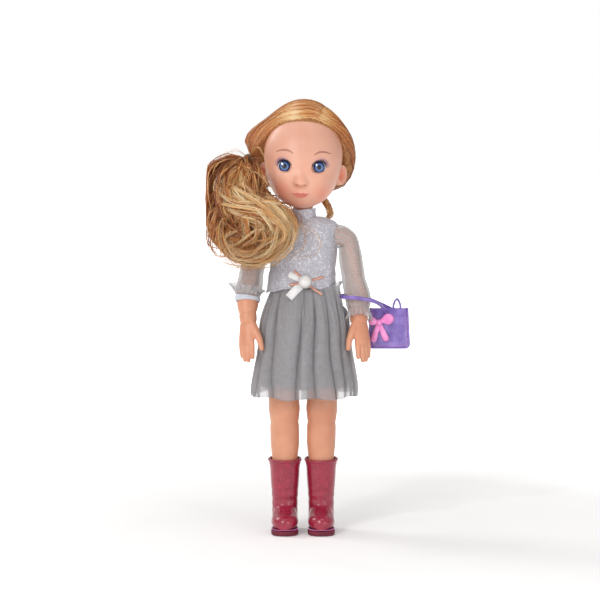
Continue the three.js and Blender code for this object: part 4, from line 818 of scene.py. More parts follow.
def build_ear(side):
    """An ear that stands off the head: its rim, its hollow and its lobe."""
    turn = circle(56)
    up, back = np.sin(turn), np.cos(turn)
    lobe = hump(turn, 4.9, 0.55)
    front_fold = hump(turn, math.pi, 0.75)
    height = EAR_HALF_HEIGHT * (1 + 0.04 * up)
    depth = EAR_HALF_DEPTH * (1 + 0.16 * up) * (1 - 0.25 * front_fold)
    rings, inner = [], []
    for t in np.linspace(0, 1, 34):
        size = 1 - t ** 1.6
        rim = hump(size, 0.86, 0.11) * (1 - 0.75 * front_fold) * (1 - 0.6 * lobe)
        ridge = 0.55 * hump(size, 0.55, 0.1) * (back > -0.2) * (up > -0.5)
        hollow = np.exp(-((size / 0.5) ** 4)) * 1.5
        lift = 1.5 * rim + ridge - hollow + 0.5 * lobe * hump(size, 0.7, 0.25)
        base = -3.2 * smoothstep(size, 0.93, 1.0)
        y = back * depth * size
        z = up * height * size
        out = HEAD_HALF_WIDTH - 2.2 + (y + 5) * 0.62 + lift + base
        rings.append(np.stack([side * out, EAR_Y + y + 0.10 * z, EAR_Z + z], -1))
        # The ear's hollow is painted in the blush colour, darker inside and away from the rim: painted shade.
        inner.append(np.clip(hollow / 1.5 + 0.4 * (1 - rim), 0, 1) * (size < 0.85))
    return loft(sided(side, "ear"), from_head(rings), FACE_MAT, attributes={"blush_and_ear_shade": np.ravel(inner)})


def build_eye(side):
    """An eyeball with a domed cornea, and a painted highlight up to its left."""
    polar = np.concatenate([np.linspace(0.02, 1.0, 70), np.linspace(1.06, math.pi - 0.05, 22)])[:, None, None]
    turn = circle(72)[:, None]
    gaze = toward(side * 3.0, 0.5)
    across = unit(np.cross(gaze, (0, 0, 1.0)))
    up = np.cross(across, gaze)
    way = gaze * np.cos(polar) + np.sin(polar) * (np.cos(turn) * across + np.sin(turn) * up)
    cornea = 0.35 * np.exp(-((polar / 0.5) ** 4))
    rings = np.array([side * EYE_X, EYE_Y, EYE_Z]) + way * (EYE_RADIUS + cornea)
    reach = np.broadcast_to(polar[..., 0] / 1.1, way.shape[:2]).ravel()
    # A white painted highlight up and to the eye's left.
    away = np.linalg.norm(way - unit(gaze + 0.28 * across + 0.28 * up), axis=-1).ravel()
    painted_highlight = 1 - smoothstep(away, PAINTED_HIGHLIGHT_SIZE * 0.75, PAINTED_HIGHLIGHT_SIZE)
    attributes = {"reach": reach, "painted_highlight": painted_highlight}
    return loft(sided(side, "eyeball"), from_head(rings), EYE_MAT, attributes=attributes)


def face_point(x, z, lift):
    """Points on the face by their place seen from the front, lifted off it."""
    y = np.full(np.shape(x), -26.0)
    for _ in range(12):
        p = np.stack([x, y, z], -1)
        y = y * head_radius(unit(p)) / np.linalg.norm(p, axis=-1)
    p = np.stack([x, y, z], -1)
    return p + unit(p) * lift


def build_lashes(side):
    """Moulded upper lashes, longer to the outside."""
    t = np.linspace(0, 1, LASHES)
    out = mix(-0.95, 1.02, t)
    x = side * EYE_X + side * out * EYE_HALF_WIDTH
    level = EYE_Z + EYE_SLANT * out + EYE_HALF_HEIGHT * np.sqrt(np.clip(1 - np.abs(out) ** 2.15, 0, 1))
    length = mix(1.3, 3.9, smoothstep(t, 0.1, 0.95)) * mix(0.85, 1.1, random.random(LASHES))
    lean = mix(-0.25, 1.15, t)[:, None]
    s = np.linspace(0, 1, LASH_STEPS)
    up = length[:, None] * s
    outward_bend, upward = up * (0.45 * s - 0.75), up * np.cos(lean) * (0.55 + 0.45 * s)
    way = np.stack([side * up * np.sin(lean), outward_bend, upward], -1)
    paths = face_point(x, level, 0.3)[:, None] + way
    radii = np.tile(LASH_RADIUS * (1 - s ** 1.5 * 0.85), (LASHES, 1))
    return tubes(sided(side, "lashes"), from_head(paths), radii, 4, LASH_MAT)


wear(build_head(), "head", "skin_vinyl", "head_shell")
for piece in (build_neck(), build_ear(-1), build_ear(1)):
    wear(piece, "head", "skin_vinyl")
for side in (-1, 1):
    wear(build_eye(side), "head", "eye", sided(side, "eye"))
    wear(build_lashes(side), "head", "eye")

# Stations of the torso: height, half width, and depth to the front and to the back
TORSO = [
    (153, 10, 9, 10), (162, 24.5, 16.5, 18.5), (178, 28.5, 18.5, 19.5), (202, 25, 15.5, 15),
    (215, 25, 16, 15), (231, 26, 16.5, 15.5), (246, 27, 14.5, 14.5), (252, 24.4, 12.5, 12.5),
    (256, 18, 10, 10), (259, 9, 9, 9),
]
# Stations of the left arm: height, its middle to the side and to the front, and its radius
ARM = [
    (175, 45.7, 12.5, 7.1), (178, 45.7, 11.5, 7.2), (193, 45.2, 6, 8.7), (210, 41.6, 2, 7.5),
    (226, 39.4, 0.5, 7.8), (238, 37.8, 0, 7.1), (246, 35, 0, 7.1),
]

# Hair: a rooted cap, strands combed over it, and a curly side tail

HAIR_SWEEP, HAIR_SWEEP_ANGLE, HAIR_SWEEP_WIDTH = 5.0, 108.0, 30.0
SIDE_LOFT = 8.0
TIE_DIMPLE = 3.0
GATHER = np.array([-38.6, 4.6, 4.0])
GATHER_ANGLE, GATHER_RISE = -97, 6
PARTING_X = 15.0
COMBED_STRANDS, COMBED_STEPS, COMBED_RADIUS = 4200, 22, 0.2
# Up to which random value a strand is combed right or left, or starts at the right or left hairline
COMB_SHARES = (0.40, 0.78, 0.86, 0.94)

# Rise of the hairline at angles from the front, in degrees
HAIRLINE = [(0, 61), (15, 60.5), (30, 59), (45, 56), (58, 51.5), (70, 45), (80, 35), (88, 22),
            (95, 9), (100, 2), (105, -10), (116, -30), (140, -38), (180, -48)]


def hairline(angle):
    at, rise = np.array(HAIRLINE, float).T
    return np.interp(np.abs(np.asarray(angle, float)), at, rise)


def hair_radius(d, layer=0.0):
    """The hair's surface over the head, thin at the hairline."""
    angle, rise = angle_and_rise(d)
    above = rise - hairline(angle)
    side = smoothstep(np.abs(angle), 66, 104)
    inside = mix(smoothstep(above, -1, 15), smoothstep(above, -6, 7), side)
    sweep = HAIR_SWEEP * hump(np.abs(angle), HAIR_SWEEP_ANGLE, HAIR_SWEEP_WIDTH) * (1 - d[..., 2] ** 2)
    side_loft = SIDE_LOFT * mound(angle, rise, GATHER_ANGLE, 19, 36, 21)
    dimple = TIE_DIMPLE * mound(angle, rise, GATHER_ANGLE, GATHER_RISE, 10, 10)
    thick = mix(1.0, HAIR_THICKNESS + HAIR_SEAT - 0.7 + sweep + side_loft, inside) - dimple
    groove = 0.35 * hump(d[..., 0] * 48, PARTING_X, 1.3) * smoothstep(rise, 50, 58)
    return head_radius(d, detail=False) + thick + layer - groove * smoothstep(-d[..., 1], -0.3, 0.0)


def build_cap():
    """The rooted cap: its inside from the crown down, then its outside back up."""
    angles = np.linspace(-180, 180, 144, endpoint=False)
    low = hairline(angles) + 0.6
    rows = []
    for s in np.linspace(0.985, 0, 12):
        d = toward(angles, mix(low, 90, s))
        rows.append(d * (head_radius(d, detail=False) - 0.6)[:, None])
    for s in np.linspace(0, 0.992, 40) ** 1.15:
        d = toward(angles, mix(low, 90, s))
        rows.append(d * hair_radius(d, -0.75)[:, None])
    # The cap is coloured darker than the strands over it: painted shade.
    return loft("hair_roots", from_head(rows), PAINTED_SHADE_HAIR_MAT)


def guide(points):
    """Evenly counted directions along a list of angles and rises."""
    a, r = np.array(points, float).T
    return unit(catmull(toward(a, r), 16))


# The way the hair is combed to the gather by the right ear: next to the hairline, and over the crown
RIGHT_EDGE = [(36, 61.5), (14, 64.5), (-8, 64), (-28, 62), (-46, 58.5), (-60, 53), (-74, 43), (-85, 27),
              (GATHER_ANGLE, GATHER_RISE)]
RIGHT_CROWN = [(138, 61), (175, 66), (-165, 61), (-150, 55), (-128, 40), (-112, 23),
               (GATHER_ANGLE, GATHER_RISE)]
LEFT_EDGE = [(36, 61.5), (46, 58.5), (57, 54), (68, 48), (78, 39), (87, 26), (96, 11), (103, 1), (112, -14),
             (124, -29), (148, -37), (180, -40), (212, -34), (238, -18), (GATHER_ANGLE + 360, GATHER_RISE)]
LEFT_CROWN = [(138, 60), (175, 64), (195, 59), (210, 53), (232, 38), (248, 21),
              (GATHER_ANGLE + 360, GATHER_RISE)]
RIGHT_SIDE, LEFT_SIDE = (RIGHT_EDGE, RIGHT_CROWN), (LEFT_EDGE, LEFT_CROWN)


def combed_path(guides, v, steps, root=None, joins=0):
    """A path between two guides; one from a root on the hairline joins them further along."""
    low, high = (guide(points) for points in guides)
    way = unit(low + (high - low) * v)
    if root is not None:
        way = np.vstack([root, way[joins:]])
    return unit(catmull(way, steps))


def hairline_path(guides, angle, steps):
    """From a root on the hairline into the flow beside it."""
    root = toward(angle, hairline(angle) + random.uniform(0.3, 2.5))
    low = guide(guides[0])
    joins = min(int(np.argmax(low @ root)) + 2, len(low) - 2)
    return combed_path(guides, random.uniform(0.0, 0.10), steps, root, joins)


def cross_parting(way, across):
    """Moves a strand's start over the parting."""
    start = 1 - smoothstep(np.linspace(0, 1, len(way)), 0, 0.2)
    return unit(way + across * start[:, None])


def nape_path(v, steps):
    """From the hairline below the ear and behind it, straight up to the tie."""
    angle = mix(-104, -180, v)
    root = toward(angle, hairline(angle) + random.uniform(0.3, 4))
    end = toward(GATHER_ANGLE, GATHER_RISE)
    way = unit(root + end + np.array([0, 0.12, 0.0]))
    return unit(catmull([root, way, end], steps))


def strand_path(steps):
    """One combed strand and the value that its clump goes by, under 4 from the parting."""
    pick = random.random()
    v = random.random()
    across = toward(90, 0) * random.uniform(-0.01, 0.05)
    right, left, right_root, left_root = COMB_SHARES
    if pick < right:
        return cross_parting(combed_path(RIGHT_SIDE, v ** 1.4, steps), across), v
    if pick < left:
        return cross_parting(combed_path(LEFT_SIDE, v ** 1.35, steps), -across), 2 + v
    if pick < right_root:
        return hairline_path(RIGHT_SIDE, mix(34, -88, v), steps), 4 + v
    if pick < left_root:
        return hairline_path(LEFT_SIDE, mix(33, 150, v), steps), 5 + v
    return nape_path(v, steps), 6 + v


def painted_hair_highlight_and_shade(d):
    """Painted highlight on the combed hair over the brow and at the temple, and painted shade at its sides.
    """
    angle, rise = angle_and_rise(d)
    brow = 0.32 * mound(angle, rise, -30, 63, 34, 11)
    temple = 0.26 * mound(angle, rise, 50, 61, 20, 9)
    return brow + temple - 0.15 * smoothstep(np.abs(angle), 58, 100)


def build_combed_hair():
    paths = np.zeros((COMBED_STRANDS, COMBED_STEPS, 3))
    shades = np.zeros((COMBED_STRANDS, COMBED_STEPS))
    s = np.linspace(0, 1, COMBED_STEPS)
    near_gather = smoothstep(s, 0.93, 1.0)
    at_root = 1 - smoothstep(s, 0, 0.06)
    for i in range(COMBED_STRANDS):
        d, v = strand_path(COMBED_STEPS)
        wave = random.normal(0, 0.008, 3) * np.sin(s * math.pi * random.uniform(1, 2.5))[:, None]
        d = unit(d + wave * np.sin(s * math.pi)[:, None])
        clump = math.sin(v * 97) + 0.7 * math.sin(v * 211 + 1) + 0.5 * math.sin(v * 463)
        radius = hair_radius(d, random.normal(0, 0.28) - 0.3 + 0.06 * clump)
        gather_radius = np.linalg.norm(GATHER) * mix(1.12, 1.0, random.random())
        radius = mix(radius, gather_radius, near_gather) - (0.5 if v < 4 else 1.5) * at_root
        paths[i] = d * radius[:, None]
        pale = 0.22 if random.random() < 0.12 else 0.0
        # The strand's tone: the hair's own streaks and random pale strands, with painted highlight and
        # painted shade added.
        shades[i] = 0.52 + 0.05 * clump + pale + random.normal(0, 0.13) + painted_hair_highlight_and_shade(d)
    thin = (1 - 0.4 * smoothstep(s, 0.8, 1.0)) * (0.6 + 0.4 * smoothstep(s, 0, 0.1))
    radii = COMBED_RADIUS * thin[None] * random.uniform(0.65, 1.2, (COMBED_STRANDS, 1))
    return tubes("combed_hair", from_head(paths), radii, 3, HAIR_MAT, shades)


wear(build_cap(), "head", "hair", "hair_cap")
wear(build_combed_hair(), "head", "hair")

TAIL_ROOT = np.array([-40.5, 4.3, 306.5])
CHEST_TOP, CHEST_GAP, SLEEVE_GAP = 259, 2.6, 3.2
TAIL_STEPS, LOCK_STRANDS, TAIL_RADIUS = 30, 8, 0.24
CORE_STEPS, CORE_RADIUS, CORE_BACK = 40, 4.6, 3.5

# Curves that the tail's locks follow, given by the points that a lock passes after the tie
TAIL_FLOWS = {
    "outer": [(-47, 2, 303), (-59, -6, 304), (-70, -12, 296), (-75, -17, 282), (-75, -22, 268),
              (-73, -26, 254), (-69, -30, 243), (-60, -33, 233)],
    "chin": [(-47, 2, 303), (-44, -8, 292), (-37, -12, 284), (-30.5, -15, 277), (-24.5, -18, 270),
             (-17, -21, 264), (-9, -25, 259), (-9, -28, 250), (-14, -29, 242)],
    "over": [(-46, 1, 304), (-54, -10, 300), (-61, -18, 292), (-64, -26, 279), (-60, -32, 266),
             (-53, -36, 255), (-50, -38, 246), (-55, -37, 238)],
    "inner": [(-45, 1, 303), (-45, -10, 301), (-41, -18, 293), (-38, -24, 282), (-38, -30, 270),
              (-43, -34, 260), (-50, -37, 252), (-56, -36, 243)],
    "swirl": [(-47, 2, 304), (-58, -10, 297), (-66, -19, 284), (-61, -28, 273), (-47, -36, 269),
              (-31, -40, 266), (-18, -38, 257), (-15, -35, 245), (-23, -36, 233), (-37, -38, 227),
              (-52, -38, 227), (-62, -37, 235), (-60, -36, 245), (-52, -36, 246)],
    "wide": [(-46, 1, 304), (-52, -12, 296), (-53, -24, 282), (-42, -32, 272), (-28, -36, 264),
             (-19, -35, 253), (-22, -34, 241), (-33, -35, 232), (-46, -36, 230)],
    "back": [(-47, 3, 302), (-57, 0, 294), (-65, -6, 281), (-66, -12, 266), (-59, -18, 252), (-51, -22, 241),
             (-43, -24, 233)],
    "low": [(-46, 2, 303), (-53, -10, 288), (-58, -20, 272), (-64, -28, 258), (-67, -32, 246),
            (-63, -33, 235), (-52, -33, 227), (-38, -32, 228)],
    "behind": [(-46, 2, 303), (-47, -8, 296), (-46, -14, 286), (-45, -20, 276), (-47, -26, 266),
               (-54, -30, 257), (-61, -31, 249)],
    "middle": [(-47, 2, 304), (-57, -13, 290), (-55, -25, 276), (-43, -33, 268), (-29, -36, 258),
               (-25, -37, 247), (-32, -37, 236), (-45, -37, 231), (-57, -36, 236), (-60, -36, 243)],
    "heart": [(-47, 2, 304), (-55, -12, 288), (-55, -26, 273), (-48, -33, 264), (-41, -37, 255),
              (-39, -38, 246), (-46, -38, 239), (-55, -38, 239), (-58, -38, 246), (-53, -38, 250)],
}
# For each flow: how many locks follow it, how light they are, and how far they spread. The darker flows at
# the back, behind and by the chin are partly the hair's own copper tone and partly painted shade.
TAIL_SHARES = {
    "outer": (38, 0.44, 7.6), "over": (32, 0.45, 7.6), "inner": (30, 0.38, 7.6), "swirl": (46, 0.74, 7.6),
    "wide": (36, 0.80, 7.6), "back": (18, 0.38, 7.6), "low": (32, 0.54, 7.6), "behind": (22, 0.32, 7.6),
    "chin": (34, 0.32, 3.6), "middle": (30, 0.74, 7.6), "heart": (22, 0.62, 7.6),
}
TAIL_EDGE, TAIL_FRONT, TAIL_REAR = -75.8, -46.0, 12
# The tail would follow the head above the first of these points and the chest below the second; stretch()
# does not use them
TAIL_BEND = ((-50, 0, 296), (-46, -10, 262))


def lock_strands(centre, count, spread, twist, phase, frizz):
    """Strands round a lock's centre line, spreading and twisting along it."""
    s = np.linspace(0, 1, len(centre))
    _, side, deep = frames_along(centre)
    open_up = mix(0.22, 1.0, smoothstep(s, 0.0, 0.35)) * mix(1.0, 0.55, smoothstep(s, 0.75, 1.0))
    out = np.zeros((count, len(centre), 3))
    for k in range(count):
        r = math.sqrt(random.random()) * spread
        angle = random.random() * 2 * math.pi + phase + twist * s * 2 * math.pi
        wave = frizz * np.sin(s * random.uniform(9, 16) + random.random() * 6.3) * smoothstep(s, 0.08, 0.4)
        out[k] = centre + side * (np.cos(angle) * r * open_up + wave)[:, None]
        out[k] += deep * (np.sin(angle) * r * 0.75 * open_up)[:, None]
    return out


def hold_in(points):
    """Bends strands that would stand out too far to the side or the front back in."""
    for axis, edge in ((0, TAIL_EDGE), (1, TAIL_FRONT)):
        beyond = np.maximum(edge - points[..., axis], 0)
        points[..., axis] += beyond - 3.6 * np.tanh(beyond / 7)
    return points


def build_tail_core():
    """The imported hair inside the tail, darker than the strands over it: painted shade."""
    paths = np.array([catmull(np.vstack([TAIL_ROOT, way]), CORE_STEPS) for way in TAIL_FLOWS.values()])
    s = np.linspace(0, 1, CORE_STEPS)
    radii = CORE_RADIUS * (0.6 + 0.4 * smoothstep(s, 0.02, 0.3)) * (1 - 0.3 * smoothstep(s, 0.8, 1))
    paths[:, 8:, 1] += CORE_BACK
    core = tubes("tail_core", keep_clear(paths), np.tile(radii, (len(paths), 1)), 12, PAINTED_SHADE_HAIR_MAT)
    return fuse(core, *CORE_SKIN)


def lock_centre(bends, far_out, steps):
    """The centre line of one curled lock that strays from its flow, and the turn that it starts with."""
    s = np.linspace(0, 1, steps)
    grow = smoothstep(np.linspace(0, 1, len(bends)), 0.0, 0.4)[:, None]
    stray = random.normal(0, 0.36 * far_out, bends.shape) * grow
    way = catmull(np.vstack([TAIL_ROOT, bends + stray]), 120)
    reach = np.linspace(0, random.uniform(0.6, 1.0), steps) * (len(way) - 1)
    centre = neighbours(way[reach.astype(int)]) / 3
    _, side, deep = frames_along(centre)
    far = far_out * math.sqrt(random.uniform(0.1, 1)) * smoothstep(s, 0.02, 0.32)
    turn = random.random() * 6.3
    drift = turn + s * random.uniform(-1.6, 1.6)
    curl = random.uniform(0.8, 4.4) * smoothstep(s, 0.12, 0.7)
    helix = s * random.uniform(1.0, 3.4) * 2 * math.pi + random.random() * 6.3
    aside = np.cos(drift) * far + np.cos(helix) * curl
    inward = np.sin(drift) * far + np.sin(helix) * curl
    return centre + side * aside[:, None] + deep * inward[:, None], turn


def build_tail():
    paths, shades = [], []
    for flow, (share, light, far_out) in TAIL_SHARES.items():
        bends = np.array(TAIL_FLOWS[flow], float)
        for _ in range(share):
            centre, turn = lock_centre(bends, far_out, TAIL_STEPS)
            spread, twist, frizz = (random.uniform(*span) for span in ((0.8, 2.4), (-1, 1), (0.2, 0.8)))
            paths.append(lock_strands(centre, LOCK_STRANDS, spread, twist, turn, frizz))
            pale = 0.34 * (random.random(LOCK_STRANDS) < 0.2)
            shades.append(light + random.normal(0, 0.13) + random.normal(0, 0.12, LOCK_STRANDS) + pale)
    paths = np.concatenate(paths)
    paths[:, :, 1] = np.minimum(paths[:, :, 1], TAIL_REAR)
    s = np.linspace(0, 1, TAIL_STEPS)
    taper = (1 - 0.75 * smoothstep(s, 0.6, 1.0)) * (0.8 + 0.2 * smoothstep(s, 0, 0.15))
    radii = TAIL_RADIUS * taper[None] * random.uniform(0.6, 1.2, (len(paths), 1))
    return tubes("side_tail", hold_in(keep_clear(paths)), radii, 3, HAIR_MAT, np.concatenate(shades))


def clear_of_head(paths):
    """Pushes strand points out to the skin, or to the combed hair where it lies."""
    local = (paths - HEAD_CENTRE) @ HEAD_TURN
    d = unit(local)
    angle, rise = angle_and_rise(d)
    cover_depth = np.where(rise > hairline(angle) + 2, HAIR_THICKNESS + HAIR_SEAT, 0.0)
    near = smoothstep(np.linalg.norm(paths - TAIL_ROOT, axis=-1), 4, 14)
    surface = mix(0, head_radius(d) + 0.7 + cover_depth * 0.8, near)
    return from_head(d * np.maximum(np.linalg.norm(local, axis=-1), surface)[..., None])


def clear_of_chest(out):
    x, y, z = out[..., 0], out[..., 1], out[..., 2]
    body = table(TORSO, np.clip(z, 156, CHEST_TOP))
    inside = (x / (body[..., 0] + CHEST_GAP)) ** 2 + (y / (body[..., 1] + CHEST_GAP)) ** 2
    push = (z < CHEST_TOP) & (inside < 1) & (y < 4)
    out[..., :2] *= np.where(push, 1 / np.sqrt(np.maximum(inside, 0.05)), 1.0)[..., None]


def clear_of_sleeve(out):
    arm = table(ARM, np.clip(out[..., 2], 175, 246))
    middle = arm[..., :2] * -1
    away = out[..., :2] - middle
    gap = np.hypot(away[..., 0], away[..., 1])
    reach = arm[..., 2] + SLEEVE_GAP
    hit = (out[..., 2] < 250) & (gap < reach)
    grow = np.where(hit, reach / np.maximum(gap, 0.5), 1.0)
    out[..., :2] = np.where(hit[..., None], away * grow[..., None] + middle, out[..., :2])


def keep_clear(paths):
    """Pushes strand points out of the head, the neck, the chest and the sleeve."""
    out = clear_of_head(paths)
    clear_of_chest(out)
    clear_of_sleeve(out)
    return out


stretch(build_tail(), ("head", "torso"), *TAIL_BEND, "hair", "hair_side_tail")
stretch(build_tail_core(), ("head", "torso"), *TAIL_BEND, "hair")

# Courses of the single strands that stand off the hair
FLIGHTS = [
    [(-44, 0, 309), (-38, -14, 316), (-31, -26, 309), (-29, -30, 292), (-38, -34, 276)],
    [(-46, 0, 308), (-56, -8, 314), (-68, -12, 308), (-77, -16, 292)],
    [(-50, -6, 305), (-48, -20, 300), (-34, -30, 294), (-25, -33, 280), (-32, -36, 266)],
    [(-60, -20, 280), (-40, -34, 277), (-22, -36, 275), (-14, -36, 268)],
    [(-30, -38, 262), (-12, -37, 258), (3, -27, 250), (14, -22, 240), (10, -21, 229), (-6, -24, 226)],
    [(-22, -38, 262), (-6, -33, 256), (2, -25, 246), (-2, -24, 234), (-16, -31, 227)],
    [(-46, 0, 306), (-58, -12, 302), (-74, -17, 290), (-80, -20, 274), (-75, -24, 260)],
    [(-66, -26, 262), (-70, -30, 250), (-66, -32, 238), (-55, -33, 230)],
    [(-20, -36, 236), (-32, -38, 222), (-46, -37, 220), (-58, -33, 229)],
    [(-18, -20, 340), (-26, -15, 338), (-36, -8, 328), (-43, -2, 312)],
]
FLIGHT_STRANDS, FLIGHT_RADIUS = 5, 0.13
NAPE_STRANDS, NAPE_SPREAD, NAPE_RADIUS = 60, 3.4, 0.25
NAPE_WAY = [(13, 26, 283), (17, 20, 274), (21.5, 15, 266), (22.5, 15.5, 260), (19.5, 18, 258.5)]
TIE_AXIS, TIE_MIDDLE = unit([-15.4, -6.6, -7.0]), np.array([-44.1, 3.2, 304.8])
TIE_RADIUS, TIE_WIDTH, TIE_THICK = 5.6, 2.4, 0.75


def build_fly_aways():
    """Single strands that stand off the hair."""
    paths, shades = [], []
    for flight in FLIGHTS:
        for _ in range(FLIGHT_STRANDS):
            shift = random.normal(0, 1.2, 3)
            way = np.array(flight, float) + shift * np.linspace(0.3, 1, len(flight))[:, None]
            paths.append(catmull(way + random.normal(0, 0.8, way.shape), TAIL_STEPS))
            shades.append(random.uniform(0.5, 0.95))
    taper = 1 - 0.6 * np.linspace(0, 1, TAIL_STEPS)
    radii = FLIGHT_RADIUS * taper * random.uniform(0.7, 1.2, (len(paths), 1))
    return tubes("loose_strands", hold_in(keep_clear(np.array(paths))), radii, 3, HAIR_MAT, shades)


def build_nape_lock():
    way = catmull(NAPE_WAY, 22)
    strands = lock_strands(way, NAPE_STRANDS, NAPE_SPREAD, 0.6, 0.0, 0.45)
    taper = 1 - 0.7 * smoothstep(np.linspace(0, 1, len(way)), 0.6, 1)
    radii = np.tile(NAPE_RADIUS * taper, (NAPE_STRANDS, 1))
    return tubes("nape_lock", strands, radii, 3, HAIR_MAT, random.uniform(0.4, 0.9, NAPE_STRANDS))


def build_tie():
    """The elastic wound three times round the gather."""
    across = unit(np.cross(TIE_AXIS, (0, 0, 1)))
    up = np.cross(across, TIE_AXIS)
    t = np.linspace(0, 3 * 2 * math.pi, 150)
    radius = (TIE_RADIUS + 0.25 * np.sin(t * 5))[:, None]
    path = TIE_MIDDLE + np.cos(t)[:, None] * across * radius + np.sin(t)[:, None] * up * radius
    path = path + TIE_AXIS * ((t / t[-1] - 0.5) * TIE_WIDTH)[:, None]
    return tubes("hair_elastic", path[None], np.full((1, len(t)), TIE_THICK), 8, TIE_MAT)


stretch(build_fly_aways(), ("head", "torso"), *TAIL_BEND, "hair")
wear(build_nape_lock(), "head", "hair", "hair_nape_lock")
wear(build_tie(), "head", "elastic", "hair_tie")

# Arms, with hands of joined palm, fingers and thumb

WRIST = np.array([45.7, -11.5, 178.0])
HAND_DOWN = unit([0.13, -0.26, -1])
HAND_ACROSS = unit([0.88, 0.47, 0])
HAND_OUT = unit(HAND_ACROSS - HAND_DOWN * np.dot(HAND_ACROSS, HAND_DOWN))
HAND_THICK = np.cross(HAND_DOWN, HAND_OUT)
PALM_LENGTH, PALM_WIDTH = 20.0, 13.6
FINGER_LENGTH = 20.0
RIGHT_HAND_IN, RIGHT_HAND_TOP = 0.10, 184
RIGHT_ELBOW_OUT = 1.6
ELBOW_Z = 211
SHOULDER_WAY = [[29.0, 0, 243.6], [32.8, 0, 243.2], [35.4, 0, 241.4], [36.9, 0, 239]]
# Each finger's place across the palm, its length as a share, and how far it leans away
FINGERS = [(-3.9, 0.86, -0.8), (-0.8, 1.0, 0.4), (2.2, 0.97, 1.0), (4.9, 0.82, 1.4)]


def mirror(points, side):
    return np.asarray(points, float) * np.array([side, 1, 1])


def on_arm(points, side):
    """Puts the arm's points on its side; the right hand hangs closer to the skirt."""
    points = np.array(points, float)
    if side < 0:
        z = points[..., 2]
        hand_in = RIGHT_HAND_IN * np.clip(RIGHT_HAND_TOP - z, 0, 45)
        points[..., 0] += RIGHT_ELBOW_OUT * hump(z, ELBOW_Z, 13) - hand_in
    return mirror(points, side)


def hand_point(down, across, out=0.0):
    return WRIST + HAND_DOWN * down + HAND_OUT * across + HAND_THICK * out


def tapered(name, path, radii, around, flat=(1.0, 1.0), up=(0, 0, 1)):
    """A rounded limb along a path, with half-round ends."""
    path = np.asarray(path, float)
    tangent = unit(np.gradient(path, axis=0))
    wheel = spokes(path, around, up, flat)
    rings = [centre + spoke * radius for centre, spoke, radius in zip(path, wheel, radii)]
    turns = np.linspace(0.15, 1, 5)[:-1] * math.pi / 2
    start = [path[0] + (wheel[0] * math.sin(a) - tangent[0] * math.cos(a)) * radii[0] for a in turns]
    end = [path[-1] + (wheel[-1] * math.sin(a) + tangent[-1] * math.cos(a)) * radii[-1] for a in turns[::-1]]
    return loft(name, np.array(start + rings + end), SKIN_MAT)


def arm_middle(z):
    """The arm's middle line and its radii at heights."""
    arm = table(ARM, z)
    return np.stack([arm[:, 0], -arm[:, 1], z], 1), arm[:, 2]


def arm_column():
    """The arm with its creases at the elbow and the wrist and the swell above the wrist."""
    z = np.linspace(240, 176.5, 60)
    path, radii = arm_middle(z)
    return path, radii - 0.45 * hump(z, ELBOW_Z, 1.5) - 0.55 * hump(z, 181, 1.1) + 0.5 * hump(z, 187, 3.5)


def hand_pieces(side):
    """Palm, fingers with their nails, and thumb."""
    palm = [hand_point(d, 0) for d in (-2, 3, 8, 13, PALM_LENGTH - 1.5)]
    widths = [PALM_WIDTH / 2 * k for k in (0.9, 0.96, 1.02, 1.06, 0.96)]
    pieces = [tapered("palm", on_arm(palm, side), widths, 28, flat=(1.0, 0.62), up=HAND_THICK * [side, 1, 1])]
    root = PALM_LENGTH - 4
    for across, share, lean in FINGERS:
        reach = FINGER_LENGTH * share
        curl = 2.6 + 0.3 * across
        bones = [hand_point(root + reach * k, across + lean * k, -curl * k ** 1.8)
                 for k in np.linspace(0, 1, 5)]
        pieces.append(tapered("finger", on_arm(bones, side), [2.5, 2.4, 2.4, 2.15, 1.8], 16))
        tip = hand_point(root + reach * 0.99, across + lean, -curl)
        nail = tip + (HAND_THICK * 0.9 + HAND_DOWN * 0.2) * 1.2
        nail_line = [nail - HAND_DOWN * 1.1, nail + HAND_DOWN]
        pieces.append(tapered("nail", on_arm(nail_line, side), [0.95, 0.85], 10))
    thumb = [hand_point(6, -4.0), hand_point(12.5, -7.8, -0.6), hand_point(19, -11.0, -1.4),
             hand_point(25.5, -12.6, -2)]
    return pieces + [tapered("thumb", on_arm(thumb, side), [3.7, 3.2, 2.7, 2.1], 16)]


def skin_limb(name, pieces, skin):
    limb = fuse(join_objects(name, pieces), *skin)
    cover(limb, SKIN_MAT)
    return limb


def build_arm(side):
    path, radii = arm_column()
    pieces = [tapered("arm", on_arm(path, side), radii, 40)]
    pieces.append(tapered("shoulder", mirror(SHOULDER_WAY, side), [7.2, 7.6, 7.4, 7.1], 28))
    return skin_limb(sided(side, "arm_skin"), pieces + hand_pieces(side), ARM_SKIN)


# Legs and boots

# Stations of the left leg: height, its middle to the side and to the back, and its radius
LEG = [
    (12, 15, 0, 7.8), (26, 15, 0, 7.2), (40, 15, 0.6, 8.4), (52, 15, 1, 10.3), (60, 15, 1, 10.7),
    (74, 15, 1.4, 12), (96, 15.4, 0, 12.2), (130, 16.3, 0, 13.4), (166, 16.8, 0, 13.8),
]
HIP_WAY = [[9.5, 0, 166], [13, 0, 166], [20, 0, 166], [24.5, 0, 166]]
KNEE_WAY = [[15.2, -10.6, 103.5], [15.2, -10.6, 99]]
BOOT_X = 15
FOOT_WAY = [[BOOT_X, 3, 13], [BOOT_X, -6, 11.5], [BOOT_X, -16, 10.2], [BOOT_X, -24, 9.6]]
BOOT_HALF = 11.2
BOOT_HEEL_Y, BOOT_TOE_Y = 15, -33
INSTEP_Z, TOE_TOP_Z, WELT_Z, WIDEST_Z = 30, 17.5, 4.3, 9.5
SHAFT_LOW, SHAFT_TOP = 6, 58.4
SHAFT_MIDDLE_LOW, SHAFT_MIDDLE_TOP = 2.6, 1
